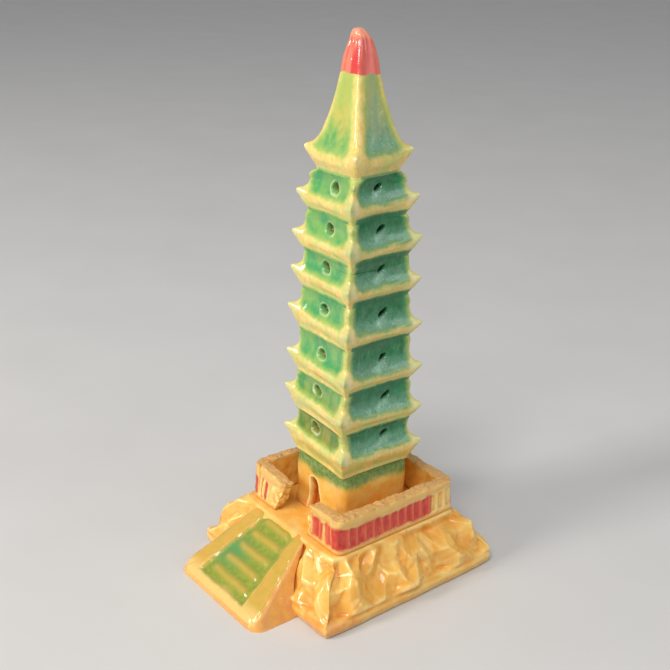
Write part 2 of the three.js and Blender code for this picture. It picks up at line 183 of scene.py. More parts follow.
# The left and right sides of the sunk panel and of its steps: where they are at the toe, and
# how far they have come in at the gate.
PANEL_LEFT, PANEL_LEFT_IN = -9.0, 3.4
PANEL_RIGHT, PANEL_RIGHT_IN = 4.3, 1.4
STEP_LEFT, STEP_LEFT_IN = -7.9, 3.2
STEP_RIGHT, STEP_RIGHT_IN = 3.8, 1.2
PANEL_FROM_TOE = 1.6
PANEL_FROM_HEAD = 0.3
STEP_HEIGHT = 0.42
STEP_HALF_WIDTH = 0.85


def node_box(name):
    """The lowest and highest corners of a frame node, in millimetres."""
    low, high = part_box(name)
    return np.array(low) / MM, np.array(high) / MM


spire_low, spire_high = node_box("spire_roof")
TOWER = (spire_low[:2] + spire_high[:2]) / 2
MOUND = TOWER - AXIS_FROM_MOUND

# ---------------------------------------------------------------- noise


def spots(x, y=0.0, z=0.0):
    """Points from their coordinates. A single number is the same for all points."""
    return np.stack(np.broadcast_arrays(x, y, z), -1)


def lattice_value(cell, seed):
    """A fixed random number from 0 to 1 for each whole-number cell."""
    whole = cell.astype(np.int64).astype(np.uint64)
    mixed = whole[..., 0] * np.uint64(73856093)
    mixed ^= whole[..., 1] * np.uint64(19349663)
    mixed ^= whole[..., 2] * np.uint64(83492791)
    mixed += np.uint64(seed * 2654435761 % 2**31)
    for shift, factor in ((15, 2246822519), (13, 3266489917), (16, 1)):
        mixed ^= mixed >> np.uint64(shift)
        mixed *= np.uint64(factor)
    return (mixed & np.uint64(0xFFFFFF)).astype(float) / 0x1000000


def noise(points, pitch, seed):
    """Smooth noise from -1 to 1, with its hills about a pitch apart."""
    spot = np.asarray(points, float) / pitch
    cell = np.floor(spot)
    part = spot - cell
    fade = part * part * (3 - 2 * part)
    total = np.zeros(spot.shape[:-1])
    for corner in itertools.product((0, 1), repeat=3):
        share = np.prod(np.where(corner, fade, 1 - fade), axis=-1)
        total += share * lattice_value(cell + corner, seed)
    return 2 * total - 1


def rough_noise(points, pitch, seed, octaves=3):
    """Noise with finer and finer detail, each octave half as strong as the one before."""
    turn = np.array(Matrix.Rotation(0.7, 3, Vector((1, 2, 3))))
    total = 0
    for octave in range(octaves):
        total = total + noise(points @ turn, pitch / 2**octave, seed + octave) / 2**octave
        turn = turn @ turn
    return total


def cells(points, pitch, seed):
    """The random rock that each point is on: how far the point is inside its border, the way
    from the rock's middle to the point, and a random number of the rock."""
    spot = np.asarray(points, float) / pitch
    cell = np.floor(spot)
    nearest = np.full(spot.shape[:-1], np.inf)
    second = nearest.copy()
    away = np.zeros_like(spot)
    owner = np.zeros_like(spot)
    for shift in itertools.product((-1, 0, 1), repeat=3):
        there = cell + shift
        centre = there + np.stack([lattice_value(there, seed + axis) for axis in range(3)], -1)
        distance = np.linalg.norm(spot - centre, axis=-1)
        closer = distance < nearest
        second = np.where(closer, nearest, np.minimum(second, distance))
        nearest = np.where(closer, distance, nearest)
        away[closer] = (spot - centre)[closer]
        owner[closer] = there[closer]
    return (second - nearest) * pitch, away * pitch, lattice_value(owner, seed + 10)


def ease(low, high, value):
    """Goes smoothly from 0 at low to 1 at high."""
    share = np.clip((value - low) / (high - low), 0, 1)
    return share * share * (3 - 2 * share)


def bell(value, width):
    return np.exp(-((value / width) ** 2))


# ---------------------------------------------------------------- mesh building blocks


def poured(at, values, count):
    """What falls on each of count points when each row of values goes to its point."""
    return np.stack([np.bincount(at, column, count) for column in values.T], -1)


def vertex_normals(points, faces):
    total = np.zeros_like(points)
    for face in faces:
        corner = points[face]
        if face.shape[1] == 4:
            normal = np.cross(corner[:, 2] - corner[:, 0], corner[:, 3] - corner[:, 1])
        else:
            normal = np.cross(corner[:, 1] - corner[:, 0], corner[:, 2] - corner[:, 0])
        for side in range(face.shape[1]):
            total += poured(face[:, side], normal, len(points))
    return total / np.maximum(np.linalg.norm(total, axis=1, keepdims=True), 1e-12)


def neighbour_mean(points, faces):
    """Each point's values replaced by the mean of the points next to it."""
    total = np.zeros_like(points)
    count = np.zeros(len(points))
    for face in faces:
        for side in range(face.shape[1]):
            here, there = face[:, side], face[:, (side + 1) % face.shape[1]]
            for end, other in ((here, there), (there, here)):
                count += np.bincount(end, minlength=len(points))
                total += poured(end, points[other], len(points))
    return total / count[:, None]


def smooth(points, faces, rounds, where=1.0):
    """Evens the points out. where says from 0 to 1 how much each point takes part."""
    weight = 0.5 * np.reshape(where, (-1, 1))
    for _ in range(rounds):
        points = points + weight * (neighbour_mean(points, faces) - points)
    return points


def bulge(points, faces, rounds):
    """How much a point stands out of its surroundings, in millimetres: positive on an edge,
    negative in a crease."""
    return np.sum((points - smooth(points, faces, rounds)) * vertex_normals(points, faces), axis=1)


def swollen(points, faces, swell):
    """The points moved out of the skin, each by its own swell."""
    return points + swell[:, None] * vertex_normals(points, faces)


def grid_faces(rows, columns, closed=True):
    """The quads of a skin with rows going up its outside and columns going round it."""
    row = np.arange(rows if closed else rows - 1)[:, None]
    column = np.arange(columns)[None, :]
    above = (row + 1) % rows
    beside = (column + 1) % columns
    corners = [
        row * columns + column,
        row * columns + beside,
        above * columns + beside,
        above * columns + column,
    ]
    return np.stack(np.broadcast_arrays(*corners), -1).reshape(-1, 4)


def fan_faces(first, count, tip, flipped=False):
    """The triangles from a row of points to a tip."""
    here = first + np.arange(count)
    beside = first + (np.arange(count) + 1) % count
    order = [beside, here] if flipped else [here, beside]
    return np.stack([*order, np.full(count, tip)], -1)


def box_skin(counts):
    """The skin of a unit box cut into so many cells each way: its points and its quads."""
    shape = np.array(counts) + 1
    grid = np.stack(np.meshgrid(*[np.arange(size) for size in shape], indexing="ij"), -1)
    on_skin = ((grid == 0) | (grid == shape - 1)).any(-1)
    number = np.full(tuple(shape), -1)
    number[on_skin] = np.arange(on_skin.sum())
    quads = []
    for axis, end in itertools.product(range(3), (0, -1)):
        face = np.take(number, end, axis=axis)
        loop = np.stack([face[:-1, :-1], face[1:, :-1], face[1:, 1:], face[:-1, 1:]], -1)
        loop = loop.reshape(-1, 4)
        outward = (end == -1) != (axis == 1)
        quads.append(loop if outward else loop[:, ::-1])
    return grid[on_skin] / (shape - 1), [np.concatenate(quads)]


def rounded(distances, radius):
    """Rounds the edges between faces, given each point's distances from those faces."""
    overhang = np.minimum(distances - radius, 0)
    length = np.linalg.norm(overhang, axis=-1, keepdims=True)
    biggest = np.abs(overhang).max(-1, keepdims=True)
    factor = np.where(length > 0, biggest / np.maximum(length, 1e-9), 1)
    return distances + overhang * (factor - 1)


def turned(x, y, angle):
    """A place turned about the origin."""
    return x * np.cos(angle) - y * np.sin(angle), x * np.sin(angle) + y * np.cos(angle)


def spaced(low, high, pitch, dense=(), closeness=2.0, reach=0.9):
    """Places from low to high, about a pitch apart and closer together at the dense ones."""
    line = np.linspace(low, high, 4001)
    density = np.ones_like(line)
    for spot in dense:
        density += (closeness - 1) * bell(line - spot, reach)
    total = np.concatenate([[0], np.cumsum((density[1:] + density[:-1]) / 2)])
    total *= (high - low) / 4000
    count = max(1, round(total[-1] / pitch))
    return np.interp(np.linspace(0, total[-1], count + 1), total, line)


def make_piece(name, node, points, faces, marks, material):
    """Makes the mesh of one clay piece, in place of the frame node it stands for."""
    mesh = bpy.data.meshes.new(name)
    loops = np.concatenate([face.ravel() for face in faces])
    sizes = np.concatenate([np.full(len(face), face.shape[1]) for face in faces])
    starts = np.concatenate([[0], np.cumsum(sizes)[:-1]])
    mesh.vertices.add(len(points))
    mesh.vertices.foreach_set("co", (points * MM).astype(np.float32).ravel())
    mesh.loops.add(len(loops))
    mesh.loops.foreach_set("vertex_index", loops.astype(np.int32))
    mesh.polygons.add(len(sizes))
    mesh.polygons.foreach_set("loop_start", starts.astype(np.int32))
    mesh.polygons.foreach_set("use_smooth", np.ones(len(sizes), bool))
    for mark, values in marks.items():
        layer = mesh.attributes.new(mark, "FLOAT", "POINT")
        layer.data.foreach_set("value", np.asarray(values, np.float32))
    mesh.update(calc_edges=True)
    mesh.validate()
    mesh.materials.append(material)
    piece = bpy.data.objects.new(name, mesh)
    bpy.context.scene.collection.objects.link(piece)
    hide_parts(node)
    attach(piece, "root")


# ---------------------------------------------------------------- squared rings

# A key ring is (height, half width at the middle of a side, half diagonal, bend, lift). bend
# says how late a side leaves its middle width on its way to the corner and lift raises the
# corners.


def round_ring(height, radius):
    return (height, radius, radius, 2, 0)


def smooth_rings(keys, pitch, dense=()):
    """A smooth run of rings through the key rings. Also gives each ring's way along the
    profile from the first one, and each key's."""
    keys = np.array(keys, float)
    way = np.concatenate([[0], np.cumsum(np.hypot(np.diff(keys[:, 0]), np.diff(keys[:, 1])))])
    slope = np.gradient(keys, way, axis=0)
    places = spaced(0, way[-1], pitch, dense)
    left = np.clip(np.searchsorted(way, places, "right") - 1, 0, len(way) - 2)
    gap = (way[left + 1] - way[left])[:, None]
    t = (places - way[left])[:, None] / gap
    rings = (
        (2 * t**3 - 3 * t**2 + 1) * keys[left]
        + (t**3 - 2 * t**2 + t) * gap * slope[left]
        + (3 * t**2 - 2 * t**3) * keys[left + 1]
        + (t**3 - t**2) * gap * slope[left + 1]
    )
    return rings, places, way


def with_crisp_ends(rings, way):
    """Adds a ring close to both ends, which keeps the shading smooth right up to a joint."""
    rows = np.column_stack([rings, way])
    near_start = rows[:1] * 0.85 + rows[1:2] * 0.15
    near_end = rows[-1:] * 0.85 + rows[-2:-1] * 0.15
    rows = np.concatenate([rows[:1], near_start, rows[1:-1], near_end, rows[-1:]])
    return rows[:, :-1], rows[:, -1]


def way_at_level(keys, level):
    """The way along the profile at which the rings reach a level."""
    rings, way, _ = smooth_rings(keys, 0.1)
    return float(np.interp(level, rings[:, 0], way))


def straight_rings(stops, counts):
    """Straight runs of rings from stop to stop, with so many rings between two stops. The
    first and the last stop are left out."""
    rings = []
    for start, end, count in zip(stops, stops[1:], counts):
        share = np.linspace(0, 1, count + 2)[1:, None]
        rings.append(np.array(start) * (1 - share) + np.array(end) * share)
    return np.concatenate(rings)[:-1]


def with_shaft(outer, keys, height):
    """The rings of an outer skin with those of the hollow shaft inside it."""
    stops = [keys[-1], round_ring(height, SHAFT_RADIUS), round_ring(0, SHAFT_RADIUS), keys[0]]
    return np.concatenate([outer, straight_rings(stops, (5, 8, 5))])


def side_columns(pitch, corner, middles=(None,) * 4):
    """The columns of a squared skin: the side each is on, and its place along that side from
    -1 at one corner to 1 at the next. The columns are closer at the corners and round the
    middle of the window or door that a side has."""
    sides, alongs = [], []
    for side, middle in enumerate(middles):
        dense = [-corner, corner] + ([] if middle is None else [middle])
        places = spaced(-corner, corner, pitch, dense)[:-1] / corner
        sides.append(np.full(len(places), side))
        alongs.append(places)
    return np.concatenate(sides), np.concatenate(alongs)


def ring_points(rings, side, along):
    """The points of the rings, and their places sideways from the middle of their side."""
    height, half, diagonal, bend, lift = (rings[:, [column]] for column in range(5))
    corner = diagonal / math.sqrt(2)
    fade = np.abs(along[None, :]) ** bend
    outward = half + (corner - half) * fade
    sideways = corner * along[None, :]
    x, y = turned(outward, sideways, side[None, :] * math.pi / 2)
    return spots(x, y, height + lift * fade), sideways


def soft_ring_points(rings, side, along, softness):
    """ring_points with rounded corners. softness says how far each ring is blurred along its
    own line; the corners still reach their half diagonals."""
    spread = (softness / CORNER_PITCH)[:, None, None]
    wide = rings.copy()
    for _ in range(3):
        points, sideways = ring_points(wide, side, along)
        waves = np.fft.rfftfreq(points.shape[1])[None, :, None]
        blur = np.exp(-2 * (math.pi * spread * waves) ** 2)
        points = np.fft.irfft(np.fft.rfft(points, axis=1) * blur, points.shape[1], axis=1)
        corner = points[:, np.flatnonzero(along == -1)[0], :2]
        wide[:, 2] += rings[:, 2] - np.linalg.norm(corner, axis=1)
    return points, sideways


def pushed_in(points, depth, side):
    """The points of a squared skin, moved by a depth square to the side that each is on."""
    angle = side * math.pi / 2
    inward = spots(-np.cos(angle), -np.sin(angle))
    return points + depth[:, None] * np.tile(inward, (len(points) // len(side), 1))


def from_joints(points, height):
    """How far each point is from the joints at the foot and the top of its piece."""
    return np.minimum(points[:, 2], height - points[:, 2])


def on_tower(points, turn, foot):
    """From a piece's own frame to the place where it stands, down over the joint below."""
    x, y = turned(points[:, 0], points[:, 1], math.radians(turn))
    seated = points[:, 2] - np.where(points[:, 2] < 0.02, SEAT, 0)
    return spots(x + TOWER[0], y + TOWER[1], seated + foot)


def skirt_walls(name):
    """The half width and half diagonal of a storey's wall, and its turn in degrees."""
    diagonal, hollow, turn = SPIRE_DIAGONAL, 0, SPIRE_TURN
    if name in STOREYS:
        diagonal, hollow, turn = STOREYS[name][0], EAVE_HOLLOW, STOREYS[name][3]
    return diagonal / math.sqrt(2) - hollow - OVERHANG, diagonal - HORN_OVERHANG, turn


def skirt_rings(half, diagonal, rise, height, top_wall, top_neck):
    """Foot, eave, roof and wall of one storey, up to the foot of the storey above."""
    wall = half - OVERHANG
    neck = diagonal - HORN_OVERHANG
    edge = rise - EDGE_BELOW_HORN
    return [
        (0, wall + COVE, neck + CORNER_COVE, 3, 0),
        (0.14 * rise, half - 0.75, diagonal - 1.8, 3, 0),
        (0.3 * rise, half - 0.5, diagonal - 1.35, 3, 0),
        (0.52 * rise, half - 0.1, diagonal - 0.8, 3.5, 0.2),
        (edge, half - 0.1, diagonal, 3.5, rise - edge),
        (rise - 0.25, half - 0.65, diagonal - 1.2, 3.5, 0.8),
        (rise + 0.55, half - 1.1, diagonal - 1.9, 3, 0.6),
        (rise + 1.65, wall, neck, 3, 0.3),
        (height - 1.5, wall, neck, 3, 0),
        (height - 0.65, wall + 0.3 * COVE, neck + 0.3 * CORNER_COVE, 3, 0),
        (height, top_wall + COVE, top_neck + CORNER_COVE, 3, 0),
    ]


EAVE_KEY = 4  # the key ring that runs along the edge of the eave


def corner_softness(way_up, ridge):
    """How round the corners are: sharper at the horns than on the ridge above them."""
    return np.interp(
        way_up, [-2.5, -1.0, 0.0, 0.9, 2.2], [FOOT_SOFTNESS, 0.4, 0.3, 0.8 * ridge, ridge]
    )


def nearness(side, along):
    """From 0 at the middle of the front and right sides to 1 at the ridge between them."""
    return np.where(side == FRONT, along, np.where(side == RIGHT, -along, 0))


def shadiness(side):
    """1 on the right and back sides and 0 on the others. Their green is darker, partly a bluer
    glaze and partly painted shade, and the colours switched by it hold painted light and shade.
    """
    return np.isin(side, (RIGHT, BACK)).astype(float)


def inside_corner(from_eave, from_ridge, radius):
    """How far a point is inside the edge of the brushed-on green, whose corners are round."""
    return radius - np.hypot(np.minimum(from_eave - radius, 0), np.minimum(from_ridge - radius, 0))


# ---------------------------------------------------------------- the storeys


def poke_windows(points, side, sideways, offsets, level, outer_rows, seed):
    """Pushes the windows in. Gives the depth of each point, how near it is to a rim and how
    much it is on the lump of glaze that was dragged down below the window."""
    depth, rim, lump = np.zeros((3, *sideways.shape))
    for face, offset in enumerate(offsets):
        dragged = face in (RIGHT, BACK)
        width = WINDOW_HALF_WIDTH * (0.72 if dragged else 1.0)
        height = WINDOW_HALF_HEIGHT * (0.85 if dragged else 1.1)
        across = sideways - offset
        up = points[..., 2] - level - (0.3 if dragged else 0)
        lean = 0.55 if dragged else 0.3 * noise(spots([seed * 3.7], face * 5.1), 1.0, 5)
        across = across - lean * up
        taper = 1 + (0.0 if dragged else 0.16) * np.clip(up / height, -1.5, 1.5)
        reach = np.hypot(across * taper / width, up / height)
        reach = reach + (0.3 if dragged else 0.14) * noise(points, 0.8, seed)
        on_face = (side == face)[None, :] & outer_rows[:, None]
        deep = WINDOW_DEPTH * (1.0 if dragged else 0.7)
        depth = np.where(on_face, deep * (1 - ease(0.6, 1.05, reach)), depth)
        uneven = np.clip(0.6 + 1.1 * noise(points, 1.1, seed + 1), 0, 1.2)
        rim = np.where(on_face, bell(reach - 1.25, 0.2) * (0.35 if dragged else 1.0) * uneven, rim)
        below = bell(np.hypot(across - 0.35, up + 1.15), 0.75)
        lump = np.where(on_face & dragged, below, lump)
    return depth.ravel(), rim.ravel(), lump.ravel()


def storey_marks(name, way_up, along, ridge, side, stand_out, points):
    """Green brushed on the wall and under the eave, thin glaze on the edges, milky glaze low
    on the right and back."""
    lip = STOREYS[name][4]
    warp = 0.22 * rough_noise(points, 1.8, 21)
    shady = shadiness(side)
    from_eave = way_up - 0.5 + 0.45 * shady - 0.5 * np.abs(along) ** 3
    # The pale band is widest on the ridge between the front and the right side. It narrows up
    # the wall, and down to the joint under the eave.
    near = nearness(side, along)
    foot = way_up.min()
    flare = ease(2.6, 0.4, way_up) * ease(foot, foot + 1.8, way_up)
    from_ridge = ridge - (0.75 + 0.75 * flare) - (0.2 + 0.25 * flare) * near
    above = ease(-1.1, 1.2, inside_corner(from_eave, from_ridge, 1.6) + warp)
    above = np.maximum(above, 0.36 * ease(0.9, 2.6, way_up))
    near_corner = bell(ridge, 1.3) * ease(0.2, 0.8, near)
    above = np.maximum(above, 0.34 * near_corner * bell(way_up + 0.1, 0.6))
    reach = lip + 0.5 * (1 - shady)
    below = ease(-0.35, 0.4, np.minimum(-reach - way_up, from_ridge + 0.3) + warp * 0.6)
    joint = np.maximum(way_up.max() - way_up, 0)
    open_wall = ease(0.3, 0.9, np.minimum(joint, way_up - foot))
    return {
        "green": np.maximum(above, below),
        "thin_glaze_and_lit_floor": open_wall * ease(0.012, 0.09, stand_out),
        # Dark green at the joint under the eave above and on the underside of this eave: partly
        # pooled glaze and partly painted shade, stronger on the shady sides.
        "pool_and_shade": (0.3 + 0.3 * shady) * np.maximum(ease(2.0, 0.0, joint), below),
        "shade": shady * ease(0.2, 2.0, ridge),
        "milk": shady * ease(3.6, 0.4, way_up) * above,
        "horn": ease(2.6, 0.6, ridge) * ease(-1.4, -0.6, way_up) * ease(1.9, 0.9, way_up),
    }


def build_storey(name, above, material):
    """above is the piece that stands on this storey."""
    diagonal, rise, dip, turn, _, roundness, offsets = STOREYS[name]
    low, high = node_box(name)
    foot = low[2]
    height = high[2] - foot
    number = int(name[-1])
    top_wall, top_neck, top_turn = skirt_walls(above)
    half = diagonal / math.sqrt(2) - EAVE_HOLLOW
    keys = skirt_rings(half, diagonal, rise, height, top_wall, top_neck)
    window_level = rise + WINDOW_ABOVE_HORN
    outer, way, key_way = smooth_rings(keys, SKIN_PITCH, [way_at_level(keys, window_level)])
    outer, way = with_crisp_ends(outer, way)
    way_up = way - key_way[EAVE_KEY]
    rings = with_shaft(outer, keys, height)
    inner_count = len(rings) - len(outer)
    side, along = side_columns(SKIN_PITCH, (diagonal - HORN_OVERHANG) / math.sqrt(2), offsets)

    softness = corner_softness(way_up, roundness)
    # The top has the same corners as the foot that stands on it.
    softness += (FOOT_SOFTNESS - softness) * ease(1.6, 0.4, way_up[-1] - way_up)
    softness = np.append(softness, np.zeros(inner_count))
    local, sideways = soft_ring_points(rings, side, along, softness)
    outer_rows = np.arange(len(rings)) < len(outer)
    depth, rim, lump = poke_windows(
        local, side, sideways, offsets, window_level, outer_rows, number
    )
    sag = (local[..., 0] + local[..., 1]) / math.sqrt(2) * np.sin(math.pi * local[..., 2] / height)
    local[..., 2] -= dip * sag

    faces = [grid_faces(len(rings), len(side))]
    skin = np.repeat(outer_rows, len(side)).astype(float)
    points = local.reshape(-1, 3)
    points = smooth(points, faces, 5, skin * ease(0, 0.5, from_joints(points, height)))
    seed = 100 * number
    swell = 0.1 * noise(points, 5.0, seed) + 0.05 * rough_noise(points, 1.7, seed + 7)
    swell += 0.1 * rim + 0.16 * lump
    swell *= skin * ease(0, 0.8, from_joints(points, height))
    points = swollen(points, faces, swell)
    points = pushed_in(points, depth, side)
    points = smooth(points, faces, 2, skin * ease(0, 0.2, depth + rim))
    twist = np.radians(top_turn - turn) * ease(height - 2.0, height, points[:, 2])
    points[:, 0], points[:, 1] = turned(points[:, 0], points[:, 1], twist)
    points = on_tower(points, turn, foot)

    sides = np.tile(side, len(rings))
    alongs = np.tile(along, len(rings))
    ridge = np.repeat(rings[:, 2] / math.sqrt(2), len(side)) * (1 - np.abs(alongs))
    ways = np.repeat(np.append(way_up, np.full(inner_count, way_up[-1])), len(side))
    marks = storey_marks(name, ways, alongs, ridge, sides, bulge(points, faces, 12), points)
    marks["rim"] = 0.7 * rim * (1 - 0.8 * shadiness(sides))
    marks["milk"] = np.clip(marks["milk"] + lump, 0, 1.3)
    marks["hole"] = ease(0.3, 1.1, depth)
    make_piece(f"glazed_{name}", name, points, faces, marks, material)


# ---------------------------------------------------------------- the spire


def build_spire(name, material):
    low, high = node_box(name)
    foot = low[2]
    tip = high[2] - foot
    keys = skirt_rings(SPIRE_DIAGONAL / math.sqrt(2), SPIRE_DIAGONAL, SPIRE_RISE, tip, 0, 0)
    keys = keys[: EAVE_KEY + 1]
    keys += [(level - foot, half, corner, 3, lift) for level, half, corner, lift in SPIRE_PROFILE]
    keys.append(round_ring(tip, 0.06))
    bore = [
        round_ring(BORE_TOP - foot, 0.02),
        round_ring(BORE_SHOULDER - foot, BORE_SHOULDER_RADIUS),
        round_ring(0, SHAFT_RADIUS),
    ]
    outer, way, key_way = smooth_rings(keys, SKIN_PITCH)
    outer, way = with_crisp_ends(outer, way)
    way_up = way - key_way[EAVE_KEY]
    inner = np.concatenate([bore[:1], straight_rings([*bore, keys[0]], (6, 12, 5))])
    rings = np.concatenate([inner, outer])
    side, along = side_columns(SPIRE_PITCH, (SPIRE_DIAGONAL - HORN_OVERHANG) / math.sqrt(2))
    count = len(side)
    softness = np.minimum(corner_softness(way_up, 0.85), 0.24 * outer[:, 1])
    softness = np.append(np.zeros(len(inner)), softness)
    local, _ = soft_ring_points(rings, side, along, softness)

    # The last two points close the bore and the tip.
    points = np.concatenate([local.reshape(-1, 3), [[0, 0, bore[0][0]], [0, 0, tip]]])
    faces = [
        grid_faces(len(rings), count, closed=False),
        fan_faces(0, count, len(points) - 2, flipped=True),
        fan_faces((len(rings) - 1) * count, count, len(points) - 1),
    ]
    level = points[:, 2] + foot
    skin = np.append(np.repeat(np.arange(len(rings)) >= len(inner), count), [0, 1]).astype(float)
    points = smooth(points, faces, 6, skin * ease(89.9, 88.5, level) * ease(0, 0.5, points[:, 2]))
    around = np.arctan2(points[:, 1], points[:, 0])
    cap = ease(RED_FROM, RED_FROM + 2.0, level)
    flutes = noise(spots(around * 4.5, level * 0.12), 1.0, 31)
    swell = 0.1 * noise(points, 5.0, 32) + 0.045 * rough_noise(points, 1.6, 33)
    swell += cap * ease(90.0, 89.0, level) * 0.13 * flutes
    swell *= skin * ease(0, 0.8, points[:, 2])
    points = swollen(points, faces, swell)

    # The pinched tip hooks over towards the front left.
    hook = ease(88.2, 90.2, level)
    points[:, 0] -= 0.1 * hook
    points[:, 1] -= 0.45 * hook
    points[:, 2] = np.minimum(points[:, 2], tip)
    points = on_tower(points, SPIRE_TURN, foot)

    ways = np.repeat(np.append(np.full(len(inner), -5.0), way_up), count)
    ways = np.append(ways, [way_up[0], way_up[-1]])
    sides = np.append(np.tile(side, len(rings)), [0, 0])
    alongs = np.append(np.tile(along, len(rings)), [0, 0])
    corner = np.append(np.repeat(rings[:, 2] / math.sqrt(2), count), [0, 0])
    ridge = corner * (1 - np.abs(alongs))
    width = np.interp(ways, [0, 3, 10, 18], [1.5, 1.4, 1.2, 0.9])
    width = width * (1 + 0.3 * nearness(sides, alongs))
    warp = 0.25 * rough_noise(points * [1, 1, 0.5], 1.5, 34)
    inside = inside_corner(ways - 0.75, ridge - width, 1.8)
    above = ease(-1.3, 1.5, inside + warp) * ease(22.0, 9.0, ways)
    below = ease(-0.35, 0.4, np.minimum(-2.3 - ways, ridge - 0.75))
    shady = shadiness(sides)
    brush = 0.25 * noise(spots(around * 2.5), 1.0, 35)
    marks = {
        "green": np.maximum(above, 0.6 * below),
        "thin_glaze_and_lit_floor": ease(0.012, 0.09, bulge(points, faces, 12)),
        # A little dark green under the eave: partly pooled glaze and partly painted shade.
        "pool_and_shade": 0.2 * below,
        "shade": shady * ease(0.2, 2.4, ridge),
        "milk": shady * above * ease(16.0, 2.0, ways),
        "way": ways,
        "red": ease(-0.12, 0.12, level - RED_FROM + brush),
        "flute": flutes,
        "nub": ease(88.3, 89.3, level + 0.3 * flutes),
    }
    make_piece("glazed_spire", name, points, faces, marks, material)


# ---------------------------------------------------------------- the ground storey


def door_reach(across, level):
    """Below 1 inside the arched door, which is wider at its foot."""
    top_half = DOOR_WIDTH * 0.4
    spring = DOOR_HEIGHT - top_half
    half = np.interp(level, [0, spring], [DOOR_WIDTH * 0.62, top_half])
    arch = np.hypot(across / top_half, np.maximum(level - spring, 0) / top_half)
    return np.where(level > spring, arch, np.abs(across) / half)


def build_ground_storey(name, material):
    low, high = node_box(name)
    height = high[2] - low[2]
    keys = [
        (0, GROUND_HALF + 0.25, GROUND_DIAGONAL + 0.25, 9, 0),
        (0.8, GROUND_HALF, GROUND_DIAGONAL, 9, 0),
        (height - 1.2, GROUND_HALF - 0.1, GROUND_DIAGONAL - 0.25, 9, 0),
        (height, GROUND_HALF - 0.5, GROUND_DIAGONAL - 0.5, 9, 0),
    ]
    outer, _ = with_crisp_ends(*smooth_rings(keys, SKIN_PITCH)[:2])
    rings = with_shaft(outer, keys, height)
    doors = [None] * 4
    doors[FRONT] = DOOR_OFFSET
    side, along = side_columns(SKIN_PITCH, GROUND_DIAGONAL / math.sqrt(2), doors)
    outer_rows = np.arange(len(rings)) < len(outer)
    local, sideways = soft_ring_points(rings, side, along, 0.95 * outer_rows)
    on_front = (side == FRONT)[None, :] & outer_rows[:, None]
    reach = door_reach(sideways - DOOR_OFFSET, local[..., 2]) + 0.07 * noise(local, 1.3, 41)
    depth = np.where(on_front, DOOR_DEPTH * (1 - ease(0.78, 1.12, reach)), 0).ravel()
    jamb = np.where(on_front, bell(reach - 1.2, 0.22), 0).ravel()
    faces = [grid_faces(len(rings), len(side))]
    skin = np.repeat(outer_rows, len(side)).astype(float)
    points = smooth(local.reshape(-1, 3), faces, 8, skin)
    swell = 0.12 * noise(points, 4.5, 42) + 0.04 * rough_noise(points, 1.5, 43) + 0.12 * jamb
    points = swollen(points, faces, skin * swell)
    points = pushed_in(points, depth, side)
    points = smooth(points, faces, 2, skin * ease(0, 0.2, depth + jamb))
    level = points[:, 2]
    points = on_tower(points, 0, low[2])

    drip = 0.5 * noise(points * [1, 1, 0], 3.0, 44) + 0.12 * rough_noise(points, 1.6, 45)
    stand_out = bulge(points, faces, 14)
    marks = {
        "green": ease(-1.5, 1.2, level - 7.5 + drip),
        "thin_glaze_and_lit_floor": ease(0.008, 0.06, stand_out) * ease(8.0, 7.0, level) + 0.8 * jamb,
        "pool_and_shade": np.maximum(0.7 * ease(0.0, 0.06, -stand_out), 0.8 * ease(1.8, 0.1, level)),
        "hole": ease(0.5, 1.3, depth),
    }
    make_piece("glazed_ground_storey", name, points, faces, marks, material)


# ---------------------------------------------------------------- the rockwork mound


def mound_half(level):
    return np.interp(level, *zip(*MOUND_PROFILE))


def mound_ring(level, half):
    ratio = TERRACE_CORNER_RATIO if level == TERRACE else MOUND_CORNER_RATIO
    return (level, half, half * ratio, 9, 0)


def facets(around, level, pitch, count, seed):
    """Flat three-sided facets that rise and fall between -1 and 1: a triangular lattice with a
    random height at each corner. count facets close the ring round the mound."""
    row = level / (pitch * math.sqrt(3) / 2)
    column = around * count - row / 2
    cell = np.floor(spots(column, row))
    across, up = column - cell[..., 0], row - cell[..., 1]

    def height(step_across, step_up):
        corner = cell + [step_across, step_up, 0]
        # Going once round the mound comes back to the same corner.
        corner[..., 0] = np.mod(corner[..., 0], count)
        return 2 * lattice_value(corner, seed) - 1

    near = (1 - across - up) * height(0, 0) + across * height(1, 0) + up * height(0, 1)
    far = (across + up - 1) * height(1, 1) + (1 - up) * height(1, 0) + (1 - across) * height(0, 1)
    return np.where(across + up < 1, near, far)


def rock_relief(points, around, level):
    """How far the carved rocks stand out: big facets with smaller ones cut across them."""
    drift = [noise(points, 8.0, 50), noise(points, 8.0, 51)]
    big = facets(around + 0.014 * drift[0], level + 1.5 * drift[1], *BIG_ROCKS, 52)
    small = facets(around + 0.01 * drift[1], level + 0.9 * drift[0] + 0.7, *SMALL_ROCKS, 53)
    border = cells(points + 0.5 * np.stack([*drift, drift[0]], -1), 5.6, 54)[0]
    return 1.15 * big + 0.75 * small - 0.12 * bell(border, 0.25) - 0.15


